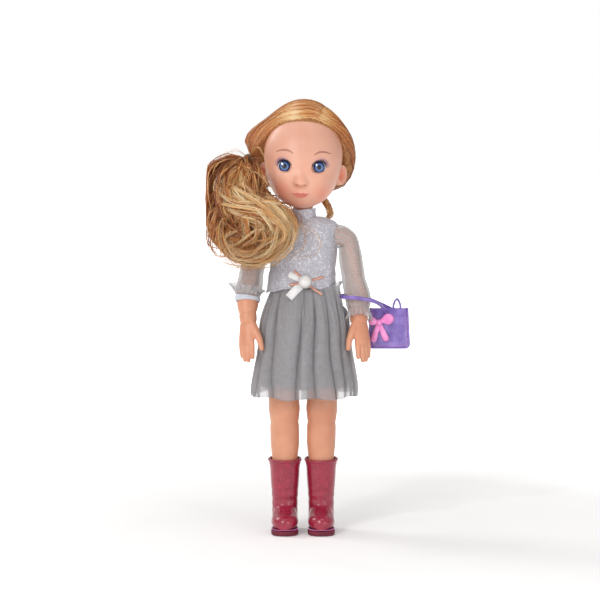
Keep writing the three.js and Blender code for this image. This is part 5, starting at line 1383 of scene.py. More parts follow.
# The hollow of the shaft: heights and radii
SHAFT_WELL = ((52, 11.0), (56, 11.2), (58.4, 12.4), (64, 12.6))
STITCH_Z, STITCHES, STITCH_INSET, STITCH_RADIUS = 4.9, 66, 0.7, 0.28
ROLL_REACH, ROLL_RADIUS = 12.9, 1.05
# Heights of the sole and how far its outline stands out there
SOLE_LEVELS = [(0, -0.9), (0.25, -0.35), (0.8, 0), (1.6, 0.0), (1.8, -0.25), (2.0, 0.0), (3.2, 0),
               (3.75, -0.35), (4.0, -0.9)]


def build_leg(side):
    z = np.linspace(163, 15, 90)
    leg = table(LEG, z)
    path = np.stack([leg[:, 0], leg[:, 1], z], 1)
    folds = 0.7 * hump(z, 101, 5) - 0.55 * hump(z, 90, 2.2) - 0.5 * hump(z, 128, 1.3)
    pieces = [tapered("leg", mirror(path, side), leg[:, 2] + folds, 48)]
    pieces.append(tapered("hip", mirror(HIP_WAY, side), [11.6, 13.9, 13.9, 11.0], 36))
    pieces.append(tapered("foot", mirror(FOOT_WAY, side), [6.8, 6.6, 6.2, 4.4], 24))
    pieces.append(tapered("knee", mirror(KNEE_WAY, side), [2.2, 2.2], 16))
    return skin_limb(sided(side, "leg_skin"), pieces, LEG_SKIN)


def foot_rings():
    """The boot's foot, heel to toe."""
    rings = []
    turn = circle(44)
    c, s = np.cos(turn), np.sin(turn)
    for t in np.linspace(0.004, 0.996, 40):
        y = mix(BOOT_HEEL_Y, BOOT_TOE_Y, t)
        swell = math.sqrt(max(0.0, 1 - abs(2 * t - 1) ** 3.4))
        half = BOOT_HALF * swell * (1 - 0.1 * hump(t, 0.36, 0.14))
        top = mix(INSTEP_Z, TOE_TOP_Z, smoothstep(t, 0.12, 0.72)) * mix(0.62, 1, swell)
        lift = WIDEST_Z + s * np.where(s < 0, WIDEST_Z - WELT_Z, max(top - WIDEST_Z, 1.0))
        width = np.sign(c) * np.abs(c) ** np.where(s < 0, 0.55, 0.8) * half
        rings.append(np.stack([BOOT_X + width, np.full_like(c, y), lift], -1))
    return np.array(rings)


def shaft_rings():
    """The boot's shaft, which widens upward and wrinkles at the ankle."""
    turn = circle(44)
    rings = []
    for level in np.linspace(SHAFT_LOW, SHAFT_TOP, 30):
        t = (level - SHAFT_LOW) / (SHAFT_TOP - SHAFT_LOW)
        wrinkle = 0.25 * math.sin(level * 0.9) * hump(level, 26, 9)
        half = mix(10.6, 12.2, smoothstep(t, 0.3, 0.9)) + 1.2 * smoothstep(t, 0.86, 1) + wrinkle
        middle = mix(SHAFT_MIDDLE_LOW, SHAFT_MIDDLE_TOP, t)
        rings.append(level_ring(BOOT_X, middle, half, level, turn))
    return np.array(rings)


def build_boot(side):
    """Foot and shaft as one skin, hollow at the top."""
    pieces = [loft("boot", mirror(foot_rings(), side)), loft("shaft", mirror(shaft_rings(), side))]
    boot = fuse(join_objects(sided(side, "boot_upper"), pieces), *BOOT_SKIN)
    turn = circle(44)
    rings = [level_ring(BOOT_X, SHAFT_MIDDLE_TOP, r, z, turn) for z, r in SHAFT_WELL]
    well = loft("well", mirror(rings, side))
    cut = boot.modifiers.new("well", "BOOLEAN")
    cut.operation = "DIFFERENCE"
    cut.object = well
    bpy.context.view_layer.objects.active = boot
    bpy.ops.object.modifier_apply(modifier="well")
    bpy.data.objects.remove(well)
    cover(boot, BOOT_MAT)
    boot.data.polygons.foreach_set("use_smooth", [True] * len(boot.data.polygons))
    return boot


def build_boot_roll(side):
    """The rolled top edge, puckered a little."""
    turn = circle(120)
    c, s = np.cos(turn), np.sin(turn)
    reach = ROLL_REACH + 0.12 * np.sin(turn * 23) + 0.08 * np.sin(turn * 9 + 1)
    level = SHAFT_TOP + 0.3 + 0.7 * s + 0.15 * np.sin(turn * 3)
    centre = np.stack([BOOT_X + c * reach, SHAFT_MIDDLE_TOP + s * reach, level], -1)
    out = np.stack([c, s, np.zeros_like(turn)], -1)[:, None] * ROLL_RADIUS
    around = circle(14)[:, None]
    rings = centre[:, None] + out * np.cos(around) + np.array([0, 0, 1.25]) * np.sin(around)
    return loft(sided(side, "boot_edge"), mirror(rings, side), BOOT_MAT, ringed=True)


def sole_outline(grow, count=72):
    """The sole seen from above."""
    half, heel, toe = BOOT_HALF + grow, 14 + grow, 33 + grow
    edge = [(0, heel), (0.5, 0.93 * heel), (0.84, 0.55 * heel), (0.86, 0), (0.93, -0.35 * toe),
            (1, -0.62 * toe), (0.86, -0.86 * toe), (0.45, -0.975 * toe), (0, -toe)]
    knots = edge[3:0:-1] + [(-x, y) for x, y in edge] + edge[-2:3:-1]
    p = np.array([(BOOT_X + x * half, y) for x, y in knots[-2:] + knots + knots[:3]])
    curve = catmull(np.hstack([p, np.zeros((len(p), 1))]), 2000)
    share = len(curve) / (len(p) - 1)
    pick = np.linspace(int(2 * share), int((2 + len(knots)) * share), count, endpoint=False).astype(int)
    return curve[pick, :2]


def build_sole(side):
    rings = []
    for z, grow in SOLE_LEVELS:
        outline = sole_outline(grow)
        rings.append(np.hstack([outline, np.full((len(outline), 1), z)]))
    return loft(sided(side, "boot_tread"), mirror(rings, side), SOLE_MAT)


def build_boot_stitches(side):
    """Stitches round the welt."""
    outline = np.hstack([sole_outline(-STITCH_INSET, STITCHES), np.full((STITCHES, 1), STITCH_Z)])
    paths = []
    for a, b in zip(outline, np.roll(outline, -1, 0)):
        start, stop = mix(a, b, 0.18), mix(a, b, 0.82)
        middle = (start + stop) / 2
        out = unit([middle[0] - BOOT_X, 0, 0]) if abs(middle[1] + 9) < 22 else np.zeros(3)
        paths.append([start, middle + out * 0.2, stop])
    radii = np.full((len(paths), 3), STITCH_RADIUS)
    return tubes(sided(side, "boot_stitches"), mirror(paths, side), radii, 5, BOW_MAT)


for side in (1, -1):
    arm, leg = sided(side, "arm"), sided(side, "leg")
    wear(build_arm(side), arm, "skin_vinyl", arm)
    wear(build_leg(side), leg, "skin_vinyl", leg)
    wear(build_boot(side), leg, "boot_vinyl", sided(side, "boot"))
    wear(build_boot_stitches(side), leg, "boot_sole")
    wear(build_boot_roll(side), leg, "boot_vinyl", sided(side, "boot_top_roll"))
    wear(build_sole(side), leg, "boot_sole", sided(side, "boot_sole"))

# Dress

BODICE_LIFT = 1.7
BODICE_LOW, BODICE_HIGH = 200.2, 257.6
SLIT_HALF, BACK_RADIUS = 2.4, 26
RIGHT_EASE = 2.4
KNIT_THICK, SHEER_THICK, ELASTIC_THICK = 0.9, 0.3, 0.7
LINING_THICK, TULLE_THICK = 0.5, 0.35
COLLAR_LOW, COLLAR_HEIGHT = 258.6, 7.4
TAPE_LOW, TAPE_HIGH, TAPE_THICK = 203.5, 245.5, 0.45
SLEEVE_FULL = 0.3
# The sleeve's way from the armhole over the shoulder
SLEEVE_HEAD = [(25.4, 0, 243.8), (29.4, 0, 243.6), (33.2, 0, 242.2), (36.2, 0, 240.0), (37.8, 0, 237)]
LEFT_SLEEVE_END, RIGHT_SLEEVE_END = 183.8, 195.5
# Each frill's height on the arm, length, flare, way along the arm and place aside
LEFT_FRILL = (184.2, 8.6, 2.2, 1, 0.0)
RIGHT_FRILL = (195.0, 7.4, 5.8, -1, 1.6)
BAND_TOP, BAND_LOW = 194.6, 190.4
WAIST_Z = 200.4
SKIRT_ASIDE = 1.2
PANEL_OVERLAP = 0.06
STRAP_SIDE, STRAP_Z = 28.2, 194.8
# Half width, half depth, height of the hem, and how much wider each side is there
LINING_CUT = (33.4, 29.4, 120.5, 3.0)
TULLE_CUT = (36.2, 32.4, 112.6, 6.4)
# How far it puffs at the waist, its gathers and their depth, its lift, its thickness and its seed
LINING_SHAPE = (0, 14, 1.5, 0.0, LINING_THICK, 5)
TULLE_SHAPE = (4.8, 17, 2.2, 0.6, TULLE_THICK, 7)


def torso_point(angle, z, lift):
    """A point round the torso at an angle from the front, in radians, lifted off it along its slope."""
    z = np.asarray(z, float)
    body = table(TORSO, z)
    ahead, behind = table(TORSO, np.minimum(z + 0.5, 259)), table(TORSO, z - 0.5)
    slope = ahead[..., 0] - behind[..., 0]
    spread = lift / np.hypot(1, slope)
    c, s = np.cos(angle), np.sin(angle)
    depth = np.where(c > 0, body[..., 1], body[..., 2]) + spread
    return np.stack([(body[..., 0] + spread) * s, -depth * c, z - spread * slope], -1)


def sheet_mesh(name, outer, thickness, material, attributes=None, wrap=False):
    """A cloth sheet with thickness from a grid of points: rows by columns by 3."""
    outer = np.asarray(outer, float)
    rows, columns = outer.shape[:2]
    along = np.gradient(outer, axis=0)
    across = np.gradient(outer, axis=1)
    if wrap:
        across = (np.roll(outer, -1, 1) - np.roll(outer, 1, 1)) / 2
    normal = unit(np.cross(across, along))
    inner = outer - normal * thickness
    points = np.vstack([outer.reshape(-1, 3), inner.reshape(-1, 3)])
    n = rows * columns
    top = grid_faces(rows, columns, wrap_columns=wrap)
    back = (top + n)[:, ::-1]
    edges = []
    j = np.arange(columns if wrap else columns - 1)
    j2 = (j + 1) % columns
    edges.append(np.stack([j2, j, j + n, j2 + n], 1))
    last = (rows - 1) * columns
    edges.append(np.stack([last + j, last + j2, last + j2 + n, last + j + n], 1))
    if not wrap:
        i = np.arange(rows - 1)
        edges.append(np.stack([i * columns, (i + 1) * columns, (i + 1) * columns + n, i * columns + n], 1))
        k = columns - 1
        low, high = i * columns + k, (i + 1) * columns + k
        edges.append(np.stack([high, low, low + n, high + n], 1))
    faces = [np.vstack([top, back] + edges)]
    doubled = {k: np.concatenate([np.asarray(v).ravel()] * 2) for k, v in (attributes or {}).items()}
    return mesh_object(name, points, outward(points, faces), material, attributes=doubled)


def waist_shift(angle):
    """How much lower the waist line lies at the doll's right side."""
    return -3.4 * hump(angle, -1.45, 0.75) + 1.2 * hump(angle, 0, 0.8)


def bodice_folds(a, level):
    """Gathers over the waist, soft drapes, and wrinkles at the sides."""
    front = hump(a, 0, 1.0)
    side = hump(np.abs(a), 1.35, 0.5)
    gathers = 0.32 * np.sin(a * 15 + 0.5 * np.sin(level * 0.14)) * (1 - smoothstep(level, 203, 226))
    draped = smoothstep(level, 205, 222) * (1 - smoothstep(level, 240, 255))
    drape = 0.4 * np.sin(a * 6.2 + level * 0.09 + 1.2) * draped
    wrinkles = 0.35 * np.sin((level - 207) * 0.55 + np.abs(a) * 3.0) * side * hump(level, 212, 8)
    return gathers * (0.5 + 0.5 * front) + drape + wrinkles


def build_bodice():
    slit = math.asin(SLIT_HALF / BACK_RADIUS)
    angle = np.linspace(-math.pi + slit, math.pi - slit, 260)
    a, level = np.meshgrid(angle, np.linspace(BODICE_LOW, BODICE_HIGH, 110))
    ease = 0.54 * hump(level, 206, 5) + 0.3 * smoothstep(level, 206, 220)
    hem = hump(level, 200.8, 1.6)
    armhole = -0.5 * mound(np.abs(a), level, math.pi / 2, 243, 0.33, 8)
    shoulder = 2.4 * mound(np.abs(a), level, math.pi / 2, 251.5, 0.6, 5)
    outer = torso_point(a, level, BODICE_LIFT + bodice_folds(a, level) + ease + hem + armhole + shoulder)
    outer[..., 2] += 0.35 * np.sin(a * 9) * (1 - smoothstep(level, 200, 206))
    outer[..., 2] += waist_shift(a) * (1 - smoothstep(level, 200, 216))
    outer[..., 0] -= RIGHT_EASE * np.clip(-np.sin(a), 0, 1) ** 2 * (1 - smoothstep(level, 202, 224))
    return sheet_mesh("knit_bodice", outer, KNIT_THICK, KNIT_MAT)


def build_collar():
    """The stand collar, one corner standing up a little."""
    slit = 0.16
    a, t = np.meshgrid(np.linspace(-math.pi + slit, math.pi - slit, 160), np.linspace(0, 1, 26))
    radius = mix(11.1, 9.9, smoothstep(t, 0, 0.8)) + 0.12 * np.sin(a * 8 + t * 3)
    r = radius + 1.3 * hump(a, 1.0, 0.5) * t ** 2 + 0.35 * hump(t, 0.93, 0.07)
    top = COLLAR_HEIGHT + 1.2 * hump(a, 0.95, 0.4) + 0.3 * np.sin(a * 5)
    outer = np.stack([np.sin(a) * r, -np.cos(a) * r, COLLAR_LOW + t * top], -1)
    return sheet_mesh("knit_collar", outer, KNIT_THICK, KNIT_MAT)


def build_tape(name, lift, width):
    """A strip of tape down the back."""
    a, level = np.meshgrid(np.linspace(-1, 1, 12), np.linspace(TAPE_LOW, TAPE_HIGH, 60))
    outer = torso_point(math.pi + a * width / BACK_RADIUS, level, lift + 0.1 * np.sin(level * 0.8))
    return sheet_mesh(name, outer, TAPE_THICK, TAPE_MAT)


def sleeve_path(cuff):
    """The sleeve's middle line and radius, from the armhole to the cuff."""
    z = np.linspace(237, cuff, 46)
    down, arm_radii = arm_middle(z)
    full = SLEEVE_FULL * smoothstep(z, 240, 228) * smoothstep(z, cuff, cuff + 14)
    down[:, 0] -= full
    head = catmull(SLEEVE_HEAD, 16)[:-1]
    along = np.linspace(0, 1, len(head))
    top = mix(10.0, 8.3, along ** 1.1) - 1.6 * hump(along, 0, 0.12)
    radii = np.concatenate([top, arm_radii + mix(1.0, 1.7, smoothstep(z, 236, 205)) + full])
    return np.vstack([head, down]), radii


def around_path(path, radii, count, up=(0, 0, 1)):
    return path[:, None] + spokes(path, count, up) * radii[..., None]


def build_sleeve(side):
    path, radii = sleeve_path(LEFT_SLEEVE_END if side > 0 else RIGHT_SLEEVE_END)
    turn = circle(110)
    t = np.linspace(0, 1, len(path))[:, None]
    gathers = 0.32 * np.sin(turn * 13 + side) * (1 - smoothstep(t, 0.0, 0.45))
    gathers = gathers + 0.3 * np.sin(turn * 15 + 2 * t) * smoothstep(t, 0.6, 1)
    puff = 0.55 * np.sin(turn * 4 + 3 * t + side) * smoothstep(t, 0.1, 0.3) * (1 - smoothstep(t, 0.85, 1))
    lifted = radii[:, None] + gathers + puff - 0.9 * smoothstep(t, 0.94, 1.0)
    outer = around_path(path, lifted, len(turn))
    # Deeper where the gathers fall in: thicker and darker there, partly painted shade.
    deep = np.clip(0.5 - gathers * 1.6 - puff * 0.5, 0, 1)
    name = sided(side, "organza_sleeve")
    return sheet_mesh(name, on_arm(outer, side), SHEER_THICK, ORGANZA_MAT, {"deep": deep}, wrap=True)


def build_frill(side):
    """The gathered frill of a cuff."""
    cuff, length, flare, way, aside = LEFT_FRILL if side > 0 else RIGHT_FRILL
    middle, arm_radii = arm_middle(np.array([cuff]))
    path = sleeve_path(cuff)[0]
    axis = unit(path[-1] - path[-4]) * way
    across = unit(np.cross(axis, (0, 1, 0)))
    up = np.cross(across, axis)
    a, t = np.meshgrid(circle(300), np.linspace(0, 1, 22))
    waves = a * 13 + 0.9 * np.sin(a * 3)
    ruffle = np.sin(waves) + 0.35 * np.sin(a * 29 + 1)
    r = arm_radii[0] + 0.55 + flare * t ** 1.3 + ruffle * (0.18 + 0.95 * t ** 1.2)
    rise = length * t * (1 + 0.05 * np.sin(a * 5)) + 0.35 * np.cos(waves) * t
    outer = axis * rise[..., None] + across * (np.cos(a) * r)[..., None] + up * (np.sin(a) * r)[..., None]
    outer = outer + middle[0] + [aside, 0, 0]
    # Deeper between the ruffles: thicker and darker there, partly painted shade.
    deep = np.clip(0.5 - 0.4 * ruffle, 0, 1)
    name = sided(side, "cuff_ruffle")
    return sheet_mesh(name, on_arm(outer, side), SHEER_THICK, FRILL_MAT, {"deep": deep}, wrap=True)


def build_band():
    """The elastic band round the right wrist, under the frill."""
    path, radii = arm_middle(np.linspace(BAND_TOP, BAND_LOW, 14))
    turn = circle(120)
    rise = 0.85 * np.sqrt(np.clip(1 - np.linspace(-1, 1, len(path)) ** 4, 0, 1)) + 0.25
    outer = around_path(path, (radii + rise)[:, None] + 0.06 * np.sin(turn * 60), len(turn), (1, 0, 0))
    return sheet_mesh("wrist_elastic", on_arm(outer, -1), ELASTIC_THICK, ELASTIC_MAT, wrap=True)


def skirt_point(angle, z, cut, top_z, pleats, lift):
    """A point of a gathered skirt at an angle from the front, in radians."""
    half_x, half_y, hem_z, flare = cut
    t = (top_z - z) / (top_z - hem_z)
    waist = torso_point(angle, np.full_like(z, WAIST_Z), 1.2)
    spread = np.sin(np.minimum(2.0 * t, 1) * math.pi / 2) ** 0.8
    wide = flare * smoothstep(t, 0.45, 1)
    c, s = np.cos(angle), np.sin(angle)
    hem = np.stack([(half_x + wide) * s + SKIRT_ASIDE, -(half_y + wide) * c], -1)
    middle = mix(waist[..., :2], hem, spread[..., None])
    out = unit(np.stack([s / half_x, -c / half_y], -1))
    shift = pleats * np.minimum(0.25 + 3 * t, 1) + lift
    return np.concatenate([middle + out * shift[..., None], z[..., None]], -1)


def pouf(angle, v):
    """How far the skirt puffs up and out at the doll's left waist."""
    return hump(angle, 1.3, 0.42) * (1 - smoothstep(v, 0.0, 0.3))


def pleat_wave(angle, t, count, seed):
    """Soft gathers, broad ridges with narrow valleys, that join and part on the way down."""
    waves = np.random.default_rng(seed)
    phase = waves.uniform(0, 6.3, 4)
    bend = 1.3 * np.sin(angle * 3 + phase[0]) + 0.8 * np.sin(angle * 5 + phase[1] + 1.5 * t)
    ridge = np.abs(np.cos(angle * count / 2 + bend + 0.4 * np.sin(t * 4 + phase[2])))
    fine = np.sin(angle * count * 2.6 + phase[3] + bend * 3) * (1 - smoothstep(t, 0.08, 0.5))
    return 2 * ridge ** 0.75 - 1.2 + 0.3 * fine


def under_strap(outer, lift):
    """Presses the skirt in where the bag's strap swings beside it."""
    x, y, z = outer[..., 0], outer[..., 1], outer[..., 2]
    limit = STRAP_SIDE + lift + 0.022 * (y + 5.4) ** 2
    near = smoothstep(x, 24, 30) * (1 - smoothstep(np.abs(z - STRAP_Z), 6.5, 12))
    outer[..., 0] = x - near * np.maximum(x - limit, 0)


def skirt_panel(name, side, cut, shape, material):
    """One of the two panels, from a little past the front middle round to a little past the back middle."""
    puff, count, depth, lift, thickness, seed = shape
    angle = np.linspace(-PANEL_OVERLAP, math.pi + PANEL_OVERLAP, 420) * side
    a, v = np.meshgrid(angle, np.concatenate([np.linspace(0, 0.2, 22)[:-1], np.linspace(0.2, 1, 44)]))
    top_z = WAIST_Z + waist_shift(a)
    z = mix(top_z, cut[2], v) + 0.9 * np.sin(a * 7 + seed) * smoothstep(v, 0.6, 1)
    wave = pleat_wave(a, v, count, seed)
    fold = wave * depth * (0.55 + 0.45 * smoothstep(v, 0, 0.35))
    lap = np.minimum(np.abs(a), np.abs(np.abs(a) - math.pi))
    under = 0.6 * side * (1 - smoothstep(lap, 0.02, 0.2)) * smoothstep(v, 0.0, 0.2)
    outer = skirt_point(a, z, cut, top_z, fold, lift + under + puff * pouf(a, v))
    outer[..., 2] += 1.4 * puff * pouf(a, v)
    under_strap(outer, lift)
    # Deeper in the pleat valleys: thicker and darker there, partly painted shade.
    return sheet_mesh(name, outer, thickness, material, {"deep": np.clip(0.15 - 0.75 * wave, 0, 1)})


def build_waist_seam():
    """The gathered top edge of the skirt under the bodice's hem."""
    a, t = np.meshgrid(circle(300), np.linspace(0, 1, 10))
    z = mix(201.0, 197.6, t) + waist_shift((a + math.pi) % (2 * math.pi) - math.pi)
    outer = torso_point(a, z, 1.3 + 0.45 * np.sin(a * 46 + np.sin(a * 7)) * smoothstep(t, 0.1, 1))
    return sheet_mesh("skirt_gathers", outer, LINING_THICK, LINING_MAT, wrap=True)


def add_skirt(side):
    """The lining and the tulle of one side."""
    bodies, bend = ("torso", sided(side, "leg")), ((side * 14, -4, 192), (side * 14, -14, 146))
    lining = skirt_panel(sided(side, "lining_panel"), side, LINING_CUT, LINING_SHAPE, LINING_MAT)
    tulle = skirt_panel(sided(side, "tulle_panel"), side, TULLE_CUT, TULLE_SHAPE, TULLE_MAT)
    for panel, cloth in ((lining, "lining"), (tulle, "tulle")):
        stretch(panel, bodies, *bend, cloth, *(["skirt_" + cloth] if side > 0 else []))


wear(build_bodice(), "torso", "glitter_knit", "bodice")
wear(build_collar(), "torso", "glitter_knit", "collar")
wear(build_tape("loop_tape", 0.75, 3.0), "torso", "closure", "back_closure_loop_strip")
wear(build_tape("hook_tape", 1.5, 2.9), "torso", "closure", "back_closure_hook_strip")
wear(build_waist_seam(), "torso", "lining")
for side in (1, -1):
    sleeve = wear(build_sleeve(side), sided(side, "arm"), "organza", sided(side, "sleeve"))
    frill = wear(build_frill(side), sided(side, "arm"), "organza", sided(side, "cuff_frill"))
    add_skirt(side)
wear(build_band(), "right_arm", "elastic", "right_wrist_band")

# Waist bow

BOW_X, BOW_Z = 1.6, 207.5
PEARL_RADIUS = 5.8
RIBBON_THICK = 0.3
COPPER_UPPER = [(-7.6, 216.2), (-4.0, 213.2), (1.2, 208.2), (7, 202.6), (11, 199.8), (15.4, 196.9)]
COPPER_LOWER = [(-11.2, 204.6), (-6.2, 205.5), (1.2, 207.4), (7.6, 208.6), (12.5, 209.9), (17.0, 211.0)]
WHITE_UPPER = [(-11.6, 213.6), (-7.0, 211.4), (-2.5, 209.4), (BOW_X, BOW_Z)]
WHITE_LOWER = [(BOW_X, BOW_Z), (-2.6, 203.6), (-6.8, 199.6), (-11.6, 194.6)]


def ribbon(name, points, lift, width, material, seed):
    """A flat ribbon along a line on the dress front, its flat side held toward the front."""
    line = catmull(front_line(points, lift), 60)
    tangent = unit(np.gradient(line, axis=0))
    across = unit(np.cross(tangent, np.array([0.0, -1.0, 0.12])))
    v = np.linspace(-1, 1, 16)
    curl = 0.10 * width * v ** 2
    ripple = 0.12 * np.sin(np.linspace(0, 9 + seed, 60) + seed)
    outer = line[:, None] + across[:, None] * (v * width / 2)[None, :, None]
    outer[..., 1] += curl + ripple[:, None]
    return sheet_mesh(name, outer, RIBBON_THICK, material, {"across": np.tile(v, (len(line), 1))})


def front_y(x, z, lift):
    """The dress front at a place seen from the front."""
    body = table(TORSO, z)
    half = body[..., 0] + BODICE_LIFT
    return -(body[..., 1] + BODICE_LIFT + lift) * np.sqrt(np.clip(1 - (x / half) ** 2, 0, 1))


def front_line(points, lift):
    """A line over the dress front, which falls forward over the skirt."""
    x, z = np.array(points, float).T
    drop = np.clip(203.5 - z, 0, 20) * 0.75
    return np.stack([x, front_y(x, np.maximum(z, 201.5), 1.2) - lift - drop, z], 1)


def build_pearl():
    middle = np.array([BOW_X, front_y(BOW_X, BOW_Z, 0) - PEARL_RADIUS + 0.2, BOW_Z])
    polar = np.linspace(0.03, math.pi - 0.03, 30)
    turn = circle(48)
    ball = np.stack([np.outer(np.sin(polar), np.cos(turn)), np.outer(-np.cos(polar), np.ones(48)),
                     np.outer(np.sin(polar), np.sin(turn))], -1)
    return loft("bow_pearl", middle + PEARL_RADIUS * ball, PEARL_MAT)


for name, points, lift, seed, node in (
        ("copper_ribbon_a", COPPER_UPPER, 1.0, 3, "copper_ribbon_upper"),
        ("copper_ribbon_b", COPPER_LOWER, 1.6, 5, "copper_ribbon_lower")):
    wear(ribbon(name, points, lift, 1.9, COPPER_MAT, seed), "torso", "copper_ribbon", node)
wear(ribbon("white_ribbon_upper", WHITE_UPPER, 0.6, 5.2, SATIN_MAT, 2), "torso", "satin")
lower = ribbon("white_ribbon_lower", WHITE_LOWER, 0.9, 6.8, SATIN_MAT, 4)
wear(lower, "torso", "satin", "white_ribbon_tails")
wear(build_pearl(), "torso", "pearl", "waist_pearl")

# Handbag

BAG_X, BAG_Y, BAG_LOW, BAG_HEIGHT = 71.0, 4.0, 151.0, 33.0
BAG_TOP_HALF, BAG_BOTTOM_HALF, BAG_HALF_THICK = 15.5, 17.0, 4.5
BAG_CORNER = 3.4
VINYL_THICK = 0.8
STRAP_REACH, STRAP_HALF_WIDTH = 15.6, 1.5
PIPING_RADIUS, RING_RADIUS = 0.62, 0.85
BAG_STITCHES, BAG_STITCH_RADIUS = 44, 0.22
KNOT = np.array([62.5, BAG_Y - BAG_HALF_THICK - 2.9, 172.6])


def bag_outline(inset):
    """The bag seen from the front, from its left top corner down and round to its right top one."""
    low_half, top_half = BAG_BOTTOM_HALF - inset, BAG_TOP_HALF - inset
    points = [(-top_half, BAG_HEIGHT)]
    points += [(-mix(top_half, low_half, t), mix(BAG_HEIGHT, BAG_CORNER + inset, t))
               for t in np.linspace(0.1, 1, 10)]
    for a in np.linspace(0, math.pi / 2, 8)[1:]:
        points.append((BAG_CORNER * (1 - math.cos(a)) - low_half, BAG_CORNER * (1 - math.sin(a)) + inset))
    straight = low_half - BAG_CORNER
    points += [(mix(-straight, straight, t), inset) for t in np.linspace(0.1, 0.9, 12)]
    right = [(-x, z) for x, z in points[::-1] if abs(x) > straight - 0.01]
    return np.array(points + right)


def bag_line(inset, y=BAG_Y):
    """The bag's outline at a depth."""
    outline = bag_outline(inset)
    return np.stack([BAG_X + outline[:, 0], np.full(len(outline), y), BAG_LOW + outline[:, 1]], -1)


def bag_gusset():
    """The band between the panels: the bag's outline swept through its thickness, rounded at both edges."""
    outline = bag_outline(0.4)
    rows = []
    for v in np.linspace(-1, 1, 22):
        round_off = 1.1 * (max(0.0, abs(v) - 0.72) / 0.28) ** 2
        x = BAG_X + outline[:, 0] * (1 - round_off * 0.06)
        z = BAG_LOW + BAG_HEIGHT - (BAG_HEIGHT - outline[:, 1]) * (1 - round_off * 0.03)
        rows.append(np.stack([x, np.full_like(x, BAG_Y + (BAG_HALF_THICK - 0.5) * v), z], -1))
    return np.array(rows)


def bag_puff(across, t):
    """How much a panel bulges, as a share, over its width and its height."""
    return (1 - np.clip(np.abs(across), 0, 1) ** 4) * (1 - np.abs(2 * t - 0.9) ** 4 * 0.6)


def bag_panel(sign):
    """Front or back panel, puffed a little and slack at the mouth."""
    a, t = np.meshgrid(np.linspace(-1, 1, 44), np.linspace(0, 1, 44))
    corner = np.clip(1 - t / 0.11, 0, 1)
    half = mix(BAG_BOTTOM_HALF, BAG_TOP_HALF, t) - 0.6 - 3.2 * (1 - np.sqrt(np.clip(1 - corner ** 2, 0, 1)))
    mouth = 0.2 * np.sin(a * 4 + 1) * smoothstep(t, 0.8, 1)
    crease = 0.25 * np.sin(a * 7 + t * 9) * hump(t, 0.2, 0.2)
    y = BAG_Y + sign * (BAG_HALF_THICK - 0.9 + 0.75 * bag_puff(a, t) + mouth + crease)
    return np.stack([BAG_X + a * half, y, BAG_LOW + 0.4 + t * (BAG_HEIGHT - 0.6)], -1)


def sweep(name, path, radius, up=(0, 0, 1)):
    """A round rod of bag trim along a path."""
    return loft(name, path[:, None] + spokes(path, 8, up) * radius, BAG_TRIM_MAT)


def bag_stitches(name, sign):
    """Stitches along a panel's edge, each over two thirds of its pitch."""
    line = catmull(bag_line(2.0), BAG_STITCHES * 3)
    runs = []
    for k in range(0, len(line) - 3, 3):
        run = line[k:k + 3].copy()
        bulge = 0.75 * bag_puff((run[:, 0] - BAG_X) / BAG_TOP_HALF, (run[:, 2] - BAG_LOW) / BAG_HEIGHT)
        run[:, 1] = BAG_Y + sign * (BAG_HALF_THICK - 0.75 + bulge)
        run[2] = mix(run[1], run[2], 0.4)
        runs.append(run)
    return tubes(name, runs, np.full((len(runs), 3), BAG_STITCH_RADIUS), 5, BOW_MAT)


def build_strap():
    """A flat strap from the bag's mouth round the forearm and back."""
    reach, y = STRAP_REACH, arm_middle(np.array([195.0]))[0][0, 1]
    path = [(76, 9.3, 172), (76, 9.3, 180.5), (60.8, 10.0, 188.5), (45.2, y + reach, 194),
            (34.9, y + 0.74 * reach, 194.4), (30.7, y, STRAP_Z), (33.5, y - 0.72 * reach, 194.6),
            (45.2, y - reach, 194), (60.2, y - 0.62 * reach, 190), (67, -1.9, 181.5), (67, -1.2, 173)]
    line = catmull(path, 140)
    tangent = unit(np.gradient(line, axis=0))
    steep = np.abs(tangent[:, 2:3]) > 0.85
    width = unit(np.where(steep, np.array([1.0, 0, 0]), np.array([0, 0, 1.0]) - tangent * tangent[:, 2:3]))
    across = np.linspace(-1, 1, 7) * STRAP_HALF_WIDTH
    outer = line[:, None] + unit(neighbours(width))[:, None] * across[None, :, None]
    return sheet_mesh("bag_strap", outer, VINYL_THICK, BAG_TRIM_MAT)


def build_bag_ring():
    """The small loop on the bag's top, beside the strap."""
    x, y, z = BAG_X + 6.5, BAG_Y - 1.5, BAG_LOW + BAG_HEIGHT
    bends = [(x - 2.8, y, z - 3), (x - 2.7, y, z + 3), (x, y, z + 7.6), (x + 2.7, y, z + 3),
             (x + 2.8, y, z - 3)]
    return sweep("bag_ring", catmull(bends, 40), RING_RADIUS, (0, 1, 0))


def ball(half_x, half_y, half_z, rows, columns):
    """Rings of an ellipsoid, from one end of its x axis to the other."""
    polar = np.linspace(0.05, math.pi - 0.05, rows)
    turn = circle(columns)
    return np.stack([np.outer(np.cos(polar), np.ones(columns)) * half_x,
                     np.outer(np.sin(polar), np.cos(turn)) * half_y,
                     np.outer(np.sin(polar), np.sin(turn)) * half_z], -1)


def bow_loop(offset, half_x, half_y, half_z, lean):
    """A puffed loop of the bow, pinched where it meets the knot."""
    p = ball(half_x, half_y, half_z, 20, 28)
    pinch = mix(0.45, 1.0, smoothstep(p[..., 0] * np.sign(offset[0]), -half_x, half_x * 0.2))
    p[..., 2] *= pinch
    p[..., 1] *= mix(0.7, 1.0, pinch)
    p[..., 1] += 0.2 * np.cos(p[..., 2] * 1.6) * (p[..., 1] < 0)
    c, s = math.cos(lean), math.sin(lean)
    turned = np.stack([p[..., 0] * c - p[..., 2] * s, p[..., 1], p[..., 0] * s + p[..., 2] * c], -1)
    return loft("loop", turned + KNOT + offset)


